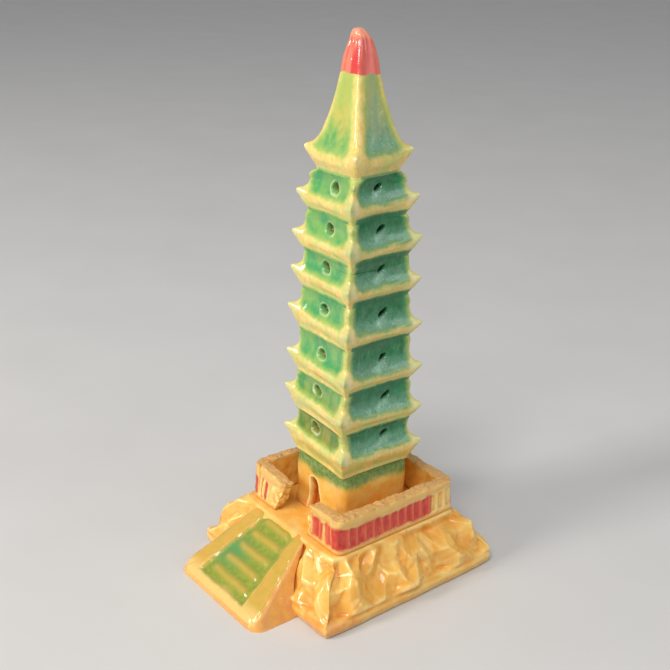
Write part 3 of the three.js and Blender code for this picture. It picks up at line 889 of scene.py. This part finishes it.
def build_mound(name, material):
    low, high = node_box(name)
    outer_keys = [mound_ring(level, half) for level, half in MOUND_PROFILE]
    outer, _, _ = smooth_rings(outer_keys, ROCK_PITCH)
    cavity = [
        (CAVITY_HEIGHT, CAVITY_TOP_HALF - CAVITY_ROUND),
        (CAVITY_HEIGHT - CAVITY_ROUND, CAVITY_TOP_HALF),
        (0, CAVITY_HALF),
    ]
    stops = [
        outer_keys[-1],
        round_ring(TERRACE, VENT_RADIUS),
        round_ring(CAVITY_HEIGHT, VENT_RADIUS),
        *[(level, half, half * CAVITY_CORNER_RATIO, 7, 0) for level, half in cavity],
        outer_keys[0],
    ]
    counts = [TERRACE_RINGS]
    for start, end in zip(stops[1:], stops[2:]):
        length = math.hypot(end[0] - start[0], end[1] - start[1])
        counts.append(round(length / CAVITY_PITCH))
    rings = np.concatenate([outer, straight_rings(stops, counts)])
    side, along = side_columns(ROCK_PITCH * 1.05, MOUND_CORNER)
    local, _ = ring_points(rings, side, along)
    row = np.arange(len(rings))
    slope_rows = row < len(outer)
    floor_rows = ~slope_rows & (row < len(outer) + TERRACE_RINGS)
    outside = slope_rows.astype(float)
    outside[floor_rows] = np.linspace(1, 0, TERRACE_RINGS)
    local[..., 1] *= 1 + (MOUND_DEEPER - 1) * outside[:, None]
    faces = [grid_faces(len(rings), len(side))]
    slope = np.repeat(slope_rows, len(side)).astype(float)
    floor = np.repeat(floor_rows, len(side)).astype(float)
    shown = slope + floor
    points = smooth(local.reshape(-1, 3), faces, 6, shown)
    points[:, 2] = np.maximum(points[:, 2], 0)
    level = points[:, 2].copy()
    off_ground = np.where(level < 0.05, 0, 1)

    sloped = RAMP_SLOPE * level
    beside_ramp = np.minimum(points[:, 0] - RAMP_LEFT - sloped, RAMP_RIGHT - sloped - points[:, 0])
    clear = 1 - ease(0.3, 1.2, beside_ramp) * ease(-8.0, -10.0, points[:, 1])
    carved = slope * ease(2.2, 3.3, level) * ease(TERRACE - 0.1, TERRACE - 1.2, level) * clear
    front = ease(-10.0, -13.0, points[:, 1])
    around = np.tile((side + (along + 1) / 2) / 4, len(rings))
    swell = carved * (1.0 + 0.2 * front) * rock_relief(points, around, level)
    swell += shown * (0.06 * noise(points, 4.0, 71) + 0.03 * rough_noise(points, 1.5, 72))
    swell -= slope * 0.3 * bell(level - 2.3, 0.35) * clear
    points = swollen(points, faces, swell * off_ground)
    points = smooth(points, faces, 1, shown * off_ground)
    points[:, 2] = np.maximum(points[:, 2], 0)
    x, y, _ = points.T.copy()
    points[:, :2] += MOUND
    points = np.clip(points, np.append(low[:2], 0), high)

    stand_out = bulge(points, faces, 8)
    gate = bell(x - 1.0, 7.0) * ease(-10.5, -13.5, y)
    right_of_ramp = front * ease(RAMP_RIGHT - 6.5, RAMP_RIGHT - 3.5, x)
    marks = {
        # On the terrace floor at the gate the amber is made paler: painted light. On the rock
        # edges the mark is thin glaze.
        "thin_glaze_and_lit_floor": np.clip(ease(0.01, 0.09, stand_out) * slope + 0.7 * floor * gate, 0, 1),
        "pool_and_shade": np.maximum(0.7 * ease(0.0, 0.1, -stand_out), 0.05 * floor),
        "wet": np.clip(np.maximum(front, floor) * 0.8 + 0.2 * gate, 0, 1),
        "flow": np.clip(np.maximum(0.2 * gate, 0.8 * right_of_ramp * ease(6.0, 1.5, level)), 0, 1),
    }
    make_piece("glazed_mound", name, points, faces, marks, material)


# ---------------------------------------------------------------- the stair ramp


def step_places(length):
    """For each step: its way up the ramp and its left and right ends."""
    for share in np.linspace(0.22, 0.91, RAMP_STEPS):
        left = STEP_LEFT + STEP_LEFT_IN * share
        right = STEP_RIGHT - STEP_RIGHT_IN * share
        yield length * share, left, right


def build_ramp(name, material):
    low, _ = node_box(name)
    head = -mound_half(TERRACE) * MOUND_DEEPER + 0.3
    length = math.hypot(head - RAMP_TOE, TERRACE - RAMP_EDGE)
    unit, faces = box_skin(RAMP_CELLS)
    across, along, up = unit.T
    line_y = RAMP_TOE + (head - RAMP_TOE) * along
    roof = RAMP_EDGE + (TERRACE - RAMP_EDGE) * along
    level = roof * up
    left = RAMP_LEFT + RAMP_SLOPE * level
    right = RAMP_RIGHT - RAMP_SLOPE * level

    # Round the toe corners in plan, and then the edge between the sides and the top.
    from_side = (right - left) * np.minimum(across, 1 - across)
    plan = rounded(np.stack([from_side, line_y - RAMP_TOE], -1), RAMP_CORNER)
    over = np.minimum(plan - RAMP_CORNER, 0)
    reach = np.linalg.norm(over, axis=-1)
    depth_in = RAMP_CORNER - reach
    edge = rounded(np.stack([depth_in, roof - level], -1), RAMP_ROUND)
    plan -= over / np.maximum(reach, 1e-9)[:, None] * (edge[:, 0] - depth_in)[:, None]
    x = np.where(across < 0.5, left + plan[:, 0], right - plan[:, 0])
    z = roof - edge[:, 1]
    mound_face = -mound_half(z) * MOUND_DEEPER + 0.2
    y = RAMP_TOE + plan[:, 1] + (1 - up**6) * along**4 * (mound_face - head)
    points = spots(x, y, z)

    # The sunk panel narrows towards the gate and grows shallower.
    on_top = ease(0.5, 0.9, edge[:, 0]) * (up == 1)
    run = along * length
    panel_left = PANEL_LEFT + PANEL_LEFT_IN * along
    panel_right = PANEL_RIGHT - PANEL_RIGHT_IN * along
    below_head = length - PANEL_FROM_HEAD - run
    margins = [x - panel_left, panel_right - x, run - PANEL_FROM_TOE, below_head]
    inside = np.minimum.reduce(margins) + 0.12 * noise(points, 2.0, 81)
    panel = ease(-0.35, 0.45, inside)
    crest = np.zeros(len(points))
    for way, from_x, to_x in step_places(length):
        ends = ease(-0.6, 1.5, x - from_x) * ease(-0.6, 1.5, to_x - x)
        bend = 0.15 * noise(spots(x, way), 3.0, 82)
        crest = np.maximum(crest, ends * bell(run - way + bend, STEP_HALF_WIDTH))
    height = panel * (-PANEL_DEPTH * (1 - 0.5 * along) + STEP_HEIGHT * crest)
    pitch = math.atan2(TERRACE - RAMP_EDGE, head - RAMP_TOE)
    points[:, 1] -= on_top * height * math.sin(pitch)
    points[:, 2] += on_top * height * math.cos(pitch)

    visible = np.where(up > 0, 1.0, 0.0)
    swell = 0.07 * noise(points, 4.0, 83) + 0.04 * rough_noise(points, 1.3, 84)
    swell += (up < 1) * 0.08 * rough_noise(points, 2.4, 85)
    points = swollen(points, faces, visible * swell)
    points = smooth(points, faces, 3, visible)
    points[:, 2] = np.maximum(points[:, 2], 0)
    points[:, :2] = np.maximum(points[:, :2] + MOUND, low[:2])

    stand_out = bulge(points, faces, 12)
    flank = ease(0.4, 0.1, edge[:, 0]) * ease(0.98, 0.9, up)
    tint = 0.35 * rough_noise(points, 2.2, 86)
    marks = {
        "green": on_top * (1 - 0.6 * crest) * ease(-0.8, 1.0, inside + tint),
        "thin_glaze_and_lit_floor": ease(0.01, 0.08, stand_out) * (1 - 0.7 * on_top * panel),
        "toe": ease(3.5, 0.8, run),
        "leafy": on_top * bell(run - 7.5, 4.5) * ease(3.5, -6.0, x),
        "flank": flank * np.where(across > 0.5, 1.0, 0.6),
        "flow": ease(length - 1.2, length, run + tint) * np.where(up > 0.5, 1, 0.3),
    }
    make_piece("glazed_ramp", name, points, faces, marks, material)


# ---------------------------------------------------------------- the parapet


def red_share(name, x, from_x, to_x, level, high_edge):
    """Where red was brushed on the outside of a wall."""
    ragged_edge = 0.25 * noise(spots(x, 0, level * 0.35), 1.1, 91)
    band = ease(-0.6, 0.6, np.minimum(level - RIB_FROM, high_edge - level) + ragged_edge)
    strokes = noise(spots(x, level * 0.3), 0.8, 92)
    along = (x - from_x) / (to_x - from_x)
    if name == "parapet_front_left":
        middles = from_x + np.array([0.1, 1.5, 2.5])
        leaning = 0.12 * (level - 13)
        stroke = np.max([bell(x - middle - leaning, 0.36) for middle in middles], axis=0)
        return ease(0.3, 0.7, stroke + 0.2 * strokes) * band
    if name == "parapet_front_right":
        return band * ease(-0.9, 0.5, strokes + 0.8 * along)
    if name == "parapet_left":
        return band * ease(0.0, 0.5, strokes + 2.0 * ease(0.93, 0.97, along))
    fading = 1.7 * ease(0.86, 0.7, along) + 1.2 * ease(0.96, 0.99, along)
    return band * ease(-0.5, 0.9, 0.7 * strokes + fading - 0.2)


def build_wall(name, material):
    turn, from_x, to_x, face, start_top, end_top, lean, turns_corner = WALLS[name]
    floor = node_box(name)[0][2]
    run = to_x - from_x
    sizes = [run, WALL_THICKNESS, (start_top + end_top) / 2 - floor]
    unit, faces = box_skin([round(size / SKIN_PITCH) for size in sizes])
    along, depth, up = unit.T
    from_end = run * np.minimum(along, 1 - along)
    from_face = WALL_THICKNESS * depth
    if turns_corner:
        from_end, from_face = rounded(np.stack([from_end, from_face], -1), WALL_CORNER).T
    x = np.where(along < 0.5, from_x + from_end, to_x - from_end) + lean * along * up
    y = -face + from_face + WALL_BATTER * up
    top = start_top + (end_top - start_top) * along
    z = floor + (top - floor) * up
    points = smooth(spots(x, y, z), faces, 5)
    normals = vertex_normals(points, faces)

    # Ribs stand in a band that is pressed in a little, under a proud upper border.
    margin = WALL_CORNER if turns_corner else 0.6
    count = int((run - 2 * margin) / RIB_PITCH)
    pitch = (run - 2 * margin) / count
    phase = (x - lean * along * up - from_x - margin) / pitch - 0.5
    phase = phase + 0.12 * noise(spots(x), 4.0, 93)
    crest = bell((phase - np.round(phase)) * pitch, RIB_HALF_WIDTH)
    crest *= ease(-0.6, -0.4, phase) * ease(count - 0.4, count - 0.6, phase)
    outer = ease(0.6, 0.9, -normals[:, 1])
    outside = np.maximum(-normals[:, 1], np.abs(normals[:, 0]) * float(turns_corner))
    outside = ease(0.3, 0.6, outside) * ease(0.4, -0.1, normals[:, 1])
    low_edge = RIB_FROM + 0.12 * noise(points, 2.0, 94)
    high_edge = RIB_TO + 0.15 * noise(points, 2.5, 95) + 0.5 * ease(4.0, 0.0, from_end)
    band = ease(0, 0.6, z - low_edge) * ease(0, 0.6, high_edge - z)
    pressed = 0.24 if turns_corner else 0.08
    border = 0.16 * bell(z - high_edge - 0.9, 0.65)
    swell = outer * (band * (RIB_HEIGHT * crest - pressed) + border)

    # The tops were cut and never smoothed; an end at the gate is torn.
    top_edge = ease(0.55, 0.05, top - z)
    gate = np.zeros(len(points))
    if name == "parapet_front_left":
        gate = ease(to_x - 1.6, to_x - 0.2, x - lean * up)
    if name == "parapet_front_right":
        gate = ease(from_x + 1.1, from_x + 0.1, x)
    crack, away, number = cells(points, 1.25, 96)
    chips = (number - 0.5) * 0.8 - 0.35 * bell(crack, 0.2) + 0.2 * away.sum(axis=1)
    rough = 0.14 * rough_noise(points, 0.8, 97) + 0.1 * noise(points, 2.2, 98)
    swell += top_edge * rough + gate * 0.5 * chips * (1 + top_edge * 0.4)
    swell += 0.07 * noise(points, 4.0, 99) + 0.03 * rough_noise(points, 1.2, 100)
    swell += 0.05 * rough_noise(points, 1.1, 101) * ease(0.2, 0.9, normals[:, 1])
    points = points + (np.where(up == 0, 0, 1) * swell)[:, None] * normals
    points = smooth(points, faces, 1)
    red = outside * (1 - gate) * red_share(name, points[:, 0], from_x, to_x, z, high_edge)
    seated = np.maximum(points[:, 2], floor) - np.where(up == 0, SEAT, 0)
    turned_x, turned_y = turned(points[:, 0], points[:, 1], math.radians(turn))
    points = spots(turned_x + TOWER[0], turned_y + TOWER[1] + WALLS_Y, seated)

    stand_out = bulge(points, faces, 10)
    bare = ease(0.45, 0.8, normals[:, 2]) + 0.6 * gate * top_edge + 0.5 * gate * chips
    marks = {
        "red": red,
        "rib": outer * band * crest,
        "bare": np.clip(bare, 0, 1),
        "border": outside * ease(high_edge - 0.1, high_edge + 0.3, z),
        "inner": ease(0.3, 0.8, normals[:, 1]),
        "pool_and_shade": np.maximum(ease(0, 0.06, -stand_out), ease(floor + 1.0, floor, z)),
    }
    make_piece(f"glazed_{name}", name, points, faces, marks, material)


# ---------------------------------------------------------------- materials


def rgb(red, green, blue):
    """A colour given as it looks on a screen, from 0 to 255, as the shader wants it."""
    return tuple(
        (value / 255 / 12.92) if value < 10.3 else ((value / 255 + 0.055) / 1.055) ** 2.4
        for value in (red, green, blue)
    ) + (1,)


class Glaze:
    """A node material for a glossy glaze over clay. Lengths are in millimetres."""

    def __init__(self, name):
        self.material = bpy.data.materials.new(name)
        self.material.use_nodes = True
        self.tree = self.material.node_tree
        place = self.add("TexCoord", {}).outputs["Object"]
        scale = self.add("VectorMath", {0: place}, operation="SCALE")
        self.fill(scale, {"Scale": 1 / MM})
        self.place = scale.outputs[0]

    def fill(self, node, inputs):
        """Fills inputs of a node, each with a plain value or the output of another node."""
        for socket, value in inputs.items():
            if isinstance(value, bpy.types.NodeSocket):
                self.tree.links.new(value, node.inputs[socket])
            else:
                node.inputs[socket].default_value = value

    def add(self, kind, inputs, **settings):
        node = self.tree.nodes.new(f"ShaderNode{kind}")
        for setting, value in settings.items():
            setattr(node, setting, value)
        self.fill(node, inputs)
        return node

    def mark(self, name):
        return self.add("Attribute", {}, attribute_name=name).outputs["Fac"]

    def math(self, operation, first, second):
        return self.add("Math", {0: first, 1: second}, operation=operation).outputs[0]

    def times(self, first, second):
        return self.math("MULTIPLY", first, second)

    def plus(self, first, second):
        return self.math("ADD", first, second)

    def remap(self, value, low, high, to_low=0.0, to_high=1.0):
        """Goes smoothly from to_low to to_high as the value goes from low to high."""
        inputs = {
            "Value": value,
            "From Min": low,
            "From Max": high,
            "To Min": to_low,
            "To Max": to_high,
        }
        return self.add("MapRange", inputs, interpolation_type="SMOOTHSTEP").outputs["Result"]

    def mix(self, factor, first, second, share=1.0):
        """Goes from the first colour to the second. The factor is an output or the name of a
        mark, and share says how much of it counts."""
        if isinstance(factor, str):
            factor = self.mark(factor)
        if share != 1.0:
            factor = self.times(factor, share)
        return self.add("Mix", {0: factor, 6: first, 7: second}, data_type="RGBA").outputs[2]

    def noise(self, pitch, detail=3.0, stretch=1.0, roughness=0.5):
        """Cloudy noise from 0 to 1. A stretch below 1 draws it out upwards."""
        scale = {0: self.place, 1: (1, 1, stretch)}
        place = self.add("VectorMath", scale, operation="MULTIPLY").outputs[0]
        grain = {"Vector": place, "Scale": 1 / pitch, "Detail": detail, "Roughness": roughness}
        return self.add("TexNoise", grain).outputs["Fac"]

    def clouds(self, first, second, low, high, pitch, detail=3.0, share=1.0, **grain):
        """Goes from the first colour to the second as the noise goes from low to high."""
        cover = self.remap(self.noise(pitch, detail, **grain), low, high, 0.0, share)
        return self.mix(cover, first, second)

    def gloss(self, low, high, pitch=1.2, detail=3.0):
        """A roughness that varies between low and high."""
        return self.remap(self.noise(pitch, detail), 0.3, 0.8, low, high)

    def wandering(self, name, pitch, amount, detail=4.0, roughness=0.5):
        """A mark with an edge that wanders to and fro."""
        offset = self.math("SUBTRACT", self.noise(pitch, detail, roughness=roughness), 0.5)
        return self.plus(self.mark(name), self.times(offset, amount))

    def specks(self, pitch, size, share):
        """Small round specks: 1 in the middle of a speck and 0 outside it. share says how
        many of the cells have one."""
        cell = self.add("TexVoronoi", {"Vector": self.place, "Scale": 1 / pitch})
        split = self.add("SeparateColor", {0: cell.outputs["Color"]})
        chosen = self.math("LESS_THAN", split.outputs[0], share)
        return self.times(self.remap(cell.outputs["Distance"], size, size * 0.4), chosen)

    def finish(self, color, roughness, depth=0.03, grit=0.0):
        """Ends the material with the orange-peel surface of a thick glaze, with pinholes."""
        pinholes = self.times(self.specks(1.7, 0.09, 0.35), 1.5)
        height = self.plus(self.math("SUBTRACT", self.noise(0.9), pinholes), grit)
        bump = self.add("Bump", {"Strength": 1.0, "Distance": depth * MM, "Height": height})
        inputs = {
            "Base Color": color,
            "Roughness": roughness,
            "IOR": 1.52,
            "Specular IOR Level": 0.36,
            "Coat Weight": 0.32,
            "Coat Roughness": 0.03,
            "Coat IOR": 1.5,
            "Normal": bump.outputs[0],
        }
        self.fill(self.tree.nodes["Principled BSDF"], inputs)
        return self.material


CREAM = rgb(236, 214, 134)
PALE_CREAM = rgb(242, 234, 184)
STRAW = rgb(228, 188, 96)
AMBER = rgb(236, 172, 72)
PALE_AMBER = rgb(240, 196, 106)
ORANGE = rgb(222, 122, 30)
DEEP_ORANGE = rgb(184, 92, 20)
TAN = rgb(196, 146, 78)
BARE_CLAY = rgb(228, 182, 112)
BROWN = rgb(128, 76, 34)
LEAF = rgb(66, 154, 92)
YELLOW_GREEN = rgb(122, 172, 92)
PALE_LIME = rgb(192, 200, 112)
TEAL = rgb(10, 100, 58)
SEA_GREEN = rgb(36, 132, 84)
DEEP_GREEN = rgb(22, 96, 50)
MILK = rgb(142, 182, 158)
OLIVE = rgb(160, 160, 56)
RED = rgb(190, 40, 34)
PINK = rgb(230, 112, 78)


def green_tones(glaze):
    """The brushed-on green, lighter on the lit sides and milky low on the shady ones."""
    dapple = glaze.remap(glaze.noise(2.2, stretch=0.6), 0.36, 0.66)
    leaf = glaze.mix(dapple, LEAF, YELLOW_GREEN)
    rusty = glaze.mix(dapple, rgb(84, 116, 34), rgb(142, 134, 44))
    # The lower storeys are rustier.
    level = glaze.add("SeparateXYZ", {0: glaze.place}).outputs["Z"]
    leaf = glaze.mix(glaze.remap(level, 38.5, 26.0, 0.0, 0.9), leaf, rusty)
    # On the shady sides the green turns teal and darker: partly a bluer glaze, partly painted
    # shade.
    green = glaze.mix("shade", leaf, glaze.clouds(TEAL, SEA_GREEN, 0.3, 0.75, 1.3))
    green = glaze.clouds(green, PALE_LIME, 0.5, 0.8, 0.42, 4.0, 0.22, stretch=0.4, roughness=0.6)
    veil = glaze.remap(glaze.noise(0.45, stretch=0.5, roughness=0.6), 0.25, 0.7, 0.6, 1.0)
    green = glaze.mix(glaze.times(glaze.mark("milk"), veil), green, MILK, 0.72)
    dots = glaze.times(glaze.specks(0.3, 0.34, 0.5), glaze.times(glaze.mark("milk"), 0.5))
    green = glaze.mix(dots, green, rgb(222, 234, 214))
    # Dark green where glaze has pooled, and under the eaves also as painted shade.
    return glaze.mix("pool_and_shade", green, DEEP_GREEN, 0.75)


def band_tones(glaze):
    """The straw-coloured glaze of the eaves and ridges, thin and pale on their edges."""
    band = glaze.clouds(CREAM, STRAW, 0.3, 0.75, 0.4, 4.0, stretch=0.35, roughness=0.6)
    band = glaze.clouds(band, PALE_LIME, 0.42, 0.62, 3.2, 2.0, 0.75)
    band = glaze.clouds(band, AMBER, 0.5, 0.75, 1.9, share=0.5)
    # On the shady sides the band is painted darker: painted shade.
    band = glaze.mix("shade", band, rgb(190, 172, 92), 0.2)
    band = glaze.mix(glaze.specks(0.9, 0.16, 0.3), band, TAN, 0.5)
    return glaze.mix("thin_glaze_and_lit_floor", band, PALE_CREAM, 0.8)


def brushed_green(glaze, band, green, soft):
    """Green over the band colour, thinning out through lime at its edge."""
    edge = glaze.wandering("green", 0.7, 0.45)
    # The lime edge is darker on the shady sides: painted shade.
    lime = glaze.mix("shade", rgb(156, 186, 96), rgb(126, 164, 98))
    color = glaze.mix(glaze.remap(edge, 0.02, 0.6, 0.0, 0.85), band, lime)
    return glaze.mix(glaze.remap(edge, 0.3 - soft, 0.95 + soft), color, green)


def green_glaze():
    glaze = Glaze("green_pottery_glaze")
    # The horn tips are painted darker on the lit sides and lighter on the shady ones: painted
    # light and shade.
    tip = glaze.mix("shade", rgb(206, 202, 132), rgb(242, 236, 196))
    band = glaze.mix("horn", band_tones(glaze), tip, 0.75)
    color = brushed_green(glaze, band, green_tones(glaze), soft=0.1)
    color = glaze.mix("rim", color, PALE_CREAM, 0.6)
    inside = glaze.clouds(rgb(86, 92, 52), rgb(148, 128, 82), 0.4, 0.6, 0.5, 2.0)
    # Inside the windows on the shady sides the colour is nearly black green: painted shade in the
    # holes.
    inside = glaze.mix("shade", inside, rgb(14, 44, 30))
    color = glaze.mix("hole", color, inside)
    return glaze.finish(color, glaze.gloss(0.06, 0.18, 1.4, 2.0))


def spire_glaze():
    glaze = Glaze("spire_pottery_glaze")
    patches = glaze.remap(glaze.noise(2.4, stretch=0.5), 0.35, 0.65)
    lit_wash = glaze.mix(patches, rgb(204, 184, 92), rgb(168, 182, 92))
    shady_wash = glaze.mix(patches, rgb(168, 176, 122), rgb(136, 168, 134))
    wash = glaze.mix("shade", lit_wash, shady_wash)
    grain = glaze.noise(0.9, 4.0, stretch=0.5, roughness=0.6)
    upper = glaze.plus(glaze.mark("way"), glaze.remap(grain, 0.2, 0.8, -2.5, 2.5))
    green = glaze.mix(glaze.remap(upper, 8.5, 0.0), wash, green_tones(glaze))
    color = brushed_green(glaze, band_tones(glaze), green, soft=0.2)
    flutes = glaze.plus(glaze.mark("flute"), glaze.noise(0.5, stretch=0.15))
    red = glaze.mix(glaze.remap(flutes, 0.0, 1.3), rgb(208, 70, 68), rgb(232, 130, 106))
    # On the shady sides the red is painted lighter: painted light.
    red = glaze.mix("shade", red, rgb(250, 146, 136), 0.8)
    red = glaze.mix("thin_glaze_and_lit_floor", red, rgb(248, 178, 134), 0.5)
    red = glaze.mix("nub", red, rgb(240, 150, 118))
    ragged = glaze.remap(glaze.wandering("red", 0.3, 0.4, 3.0), 0.12, 0.88)
    color = glaze.mix(ragged, color, red)
    return glaze.finish(color, glaze.gloss(0.06, 0.16, 1.4, 2.0))


def amber_tones(glaze):
    """Amber glaze: pale where it is thin and where light is painted on the terrace floor at the
    gate, orange where it has run together.
    """
    color = glaze.clouds(AMBER, PALE_AMBER, 0.35, 0.7, 3.0)
    color = glaze.clouds(color, TAN, 0.52, 0.8, 0.3, 4.0, 0.45, roughness=0.65)
    color = glaze.mix("thin_glaze_and_lit_floor", color, rgb(250, 224, 146), 0.6)
    color = glaze.mix("pool_and_shade", color, ORANGE, 0.75)
    return glaze.mix(glaze.specks(1.6, 0.1, 0.22), color, BROWN, 0.7)


def ground_glaze():
    glaze = Glaze("ground_storey_glaze")
    green = glaze.clouds(rgb(90, 114, 46), rgb(132, 150, 72), 0.35, 0.7, 0.55, 4.0, roughness=0.7)
    green = glaze.mix("pool_and_shade", green, rgb(48, 92, 44), 0.5)
    edge = glaze.wandering("green", 0.8, 0.45)
    color = glaze.mix(glaze.remap(edge, 0.0, 0.6, 0.0, 0.6), amber_tones(glaze), rgb(186, 172, 84))
    color = glaze.mix(glaze.remap(edge, 0.3, 0.95), color, green)
    color = glaze.mix("hole", color, DEEP_ORANGE)
    return glaze.finish(color, glaze.gloss(0.08, 0.22, 1.4, 2.0))


def mound_glaze():
    glaze = Glaze("rockwork_glaze")
    runs = glaze.remap(glaze.noise(1.6, stretch=0.5), 0.3, 0.65, 0.3, 1.0)
    flow = glaze.times(glaze.mark("flow"), runs)
    color = glaze.mix(flow, amber_tones(glaze), rgb(220, 122, 36), 0.8)
    satin = glaze.gloss(0.22, 0.42)
    difference = glaze.math("SUBTRACT", glaze.gloss(0.06, 0.14), satin)
    rough = glaze.plus(satin, glaze.times(glaze.mark("wet"), difference))
    return glaze.finish(color, rough, depth=0.04)


def ramp_glaze():
    glaze = Glaze("ramp_pottery_glaze")
    border = glaze.clouds(rgb(206, 162, 74), rgb(192, 160, 66), 0.35, 0.7, 1.6)
    border = glaze.clouds(border, TAN, 0.5, 0.8, 0.3, 4.0, 0.35, roughness=0.65)
    border = glaze.mix("toe", border, rgb(234, 200, 124), 0.7)
    border = glaze.mix("thin_glaze_and_lit_floor", border, CREAM, 0.6)
    ochre = glaze.clouds(rgb(224, 156, 92), rgb(230, 174, 86), 0.3, 0.75, 1.3, 4.0)
    border = glaze.mix("flank", border, ochre)
    dapple = glaze.noise(0.7, 4.0, roughness=0.65)
    olive = glaze.mix(glaze.remap(dapple, 0.25, 0.8), rgb(110, 138, 50), OLIVE)
    leafy = glaze.plus(glaze.mark("leafy"), glaze.times(dapple, 0.5))
    green = glaze.mix(glaze.remap(leafy, 0.45, 1.6), olive, rgb(70, 146, 86))
    edge = glaze.wandering("green", 0.7, 0.5, roughness=0.65)
    color = glaze.mix(glaze.remap(edge, 0.05, 1.0), border, green)
    color = glaze.mix("flow", color, rgb(226, 138, 44), 0.8)
    return glaze.finish(color, glaze.gloss(0.1, 0.26))


def parapet_glaze():
    glaze = Glaze("parapet_pottery_glaze")
    cream = glaze.clouds(rgb(240, 194, 104), CREAM, 0.3, 0.7, 1.2)
    cream = glaze.mix("border", cream, rgb(220, 168, 88), 0.7)
    deep = glaze.clouds(rgb(240, 170, 64), rgb(250, 206, 110), 0.3, 0.7, 1.6)
    cream = glaze.mix("inner", cream, deep)
    cream = glaze.mix("pool_and_shade", cream, ORANGE, 0.7)
    red = glaze.clouds(RED, PINK, 0.3, 0.75, 0.5, share=0.4, stretch=0.4)
    red = glaze.mix("rib", red, PINK, 0.65)
    color = glaze.mix(glaze.remap(glaze.wandering("red", 0.5, 0.45), 0.1, 1.0), cream, red)
    clay_grain = glaze.noise(0.22, 5.0, roughness=0.7)
    clay = glaze.mix(glaze.remap(clay_grain, 0.35, 0.7), BARE_CLAY, rgb(196, 136, 78))
    bare = glaze.remap(glaze.wandering("bare", 0.5, 1.0, 3.0), 0.12, 0.88)
    color = glaze.mix(bare, color, clay)
    rough = glaze.plus(glaze.gloss(0.1, 0.25), glaze.times(bare, 0.4))
    grit = glaze.times(clay_grain, glaze.times(bare, 3.0))
    return glaze.finish(color, rough, depth=0.04, grit=grit)


# ---------------------------------------------------------------- the pieces

green_storeys = green_glaze()
amber_walls = ground_glaze()
red_walls = parapet_glaze()

build_mound("rockwork_mound", mound_glaze())
build_ramp("stair_ramp", ramp_glaze())
for wall_name in WALLS:
    build_wall(wall_name, red_walls)
build_ground_storey("ground_storey", amber_walls)
for storey_name, name_above in itertools.pairwise([*STOREYS, "spire_roof"]):
    build_storey(storey_name, name_above, green_storeys)
build_spire("spire_roof", spire_glaze())

# ---------------------------------------------------------------- floor, light and camera

CAMERA_AT = Vector((0.1275, -0.1006, 0.1107))  # in metres
CAMERA_AZIMUTH, CAMERA_PITCH, CAMERA_ROLL = 51.67, 22.79, 0.96  # in degrees
CAMERA_LENS, CAMERA_SENSOR = 59.1, 36
LAMPS_LOOK_AT = Vector((0, 0, 0.04))


def pale_floor():
    bpy.ops.mesh.primitive_plane_add(size=8)
    floor = bpy.context.object
    floor.name = "studio_floor"
    material = bpy.data.materials.new("pale_floor")
    material.use_nodes = True
    nodes = material.node_tree.nodes
    grain = nodes.new("ShaderNodeTexNoise")
    grain.inputs["Scale"].default_value = 300
    greys = nodes.new("ShaderNodeValToRGB")
    greys.color_ramp.elements[0].color = (0.60, 0.59, 0.58, 1)
    greys.color_ramp.elements[1].color = (0.66, 0.65, 0.64, 1)
    shader = nodes["Principled BSDF"]
    shader.inputs["Roughness"].default_value = 0.6
    material.node_tree.links.new(grain.outputs["Fac"], greys.inputs["Fac"])
    material.node_tree.links.new(greys.outputs["Color"], shader.inputs["Base Color"])
    floor.data.materials.append(material)


def bearing(azimuth, elevation):
    """The direction outwards to a place seen from the tower, both angles in degrees. Azimuth 0
    is in front of the stair and 90 is at +X."""
    turn = math.radians(azimuth)
    tilt = math.radians(elevation)
    level = math.cos(tilt)
    return Vector((math.sin(turn) * level, -math.cos(turn) * level, math.sin(tilt)))


def soft_light(name, azimuth, elevation, distance, size, power, color):
    """A rectangular lamp that looks at the middle of the tower."""
    away = bearing(azimuth, elevation)
    lamp = bpy.data.lights.new(name, "AREA")
    lamp.shape = "RECTANGLE"
    lamp.size, lamp.size_y = size
    lamp.energy = power
    lamp.color = color
    light = bpy.data.objects.new(name, lamp)
    light.location = LAMPS_LOOK_AT + away * distance
    light.rotation_euler = away.to_track_quat("Z", "Y").to_euler()
    bpy.context.scene.collection.objects.link(light)


def studio_light():
    soft_light("window", -12, 26, 0.6, (0.14, 0.26), 2.3, (1.0, 0.96, 0.9))
    soft_light("overhead", 32, 52, 0.7, (0.26, 0.26), 2.6, (1.0, 0.98, 0.95))
    soft_light("fill", 112, 30, 0.8, (0.5, 0.4), 0.9, (0.9, 0.96, 1.0))
    world = bpy.data.worlds.new("studio")
    world.use_nodes = True
    background = world.node_tree.nodes["Background"]
    background.inputs["Color"].default_value = (0.9, 0.92, 0.95, 1)
    background.inputs["Strength"].default_value = 0.36
    bpy.context.scene.world = world


def main_camera():
    """The camera stands at the front right and looks down on the tower."""
    azimuth = math.radians(CAMERA_AZIMUTH)
    roll = math.radians(CAMERA_ROLL)
    forward = -bearing(CAMERA_AZIMUTH, CAMERA_PITCH)
    level_right = Vector((math.cos(azimuth), math.sin(azimuth), 0))
    level_up = level_right.cross(forward)
    right = level_right * math.cos(roll) + level_up * math.sin(roll)
    up = level_up * math.cos(roll) - level_right * math.sin(roll)
    lens = bpy.data.cameras.new("camera")
    lens.sensor_width = CAMERA_SENSOR
    lens.lens = CAMERA_LENS
    lens.clip_start = 0.01
    lens.clip_end = 50
    camera = bpy.data.objects.new("camera", lens)
    turn = Matrix((right, up, -forward)).transposed()
    camera.matrix_world = Matrix.Translation(CAMERA_AT) @ turn.to_4x4()
    bpy.context.scene.collection.objects.link(camera)
    bpy.context.scene.camera = camera


pale_floor()
studio_light()
main_camera()
bpy.context.scene.view_settings.view_transform = "Standard"
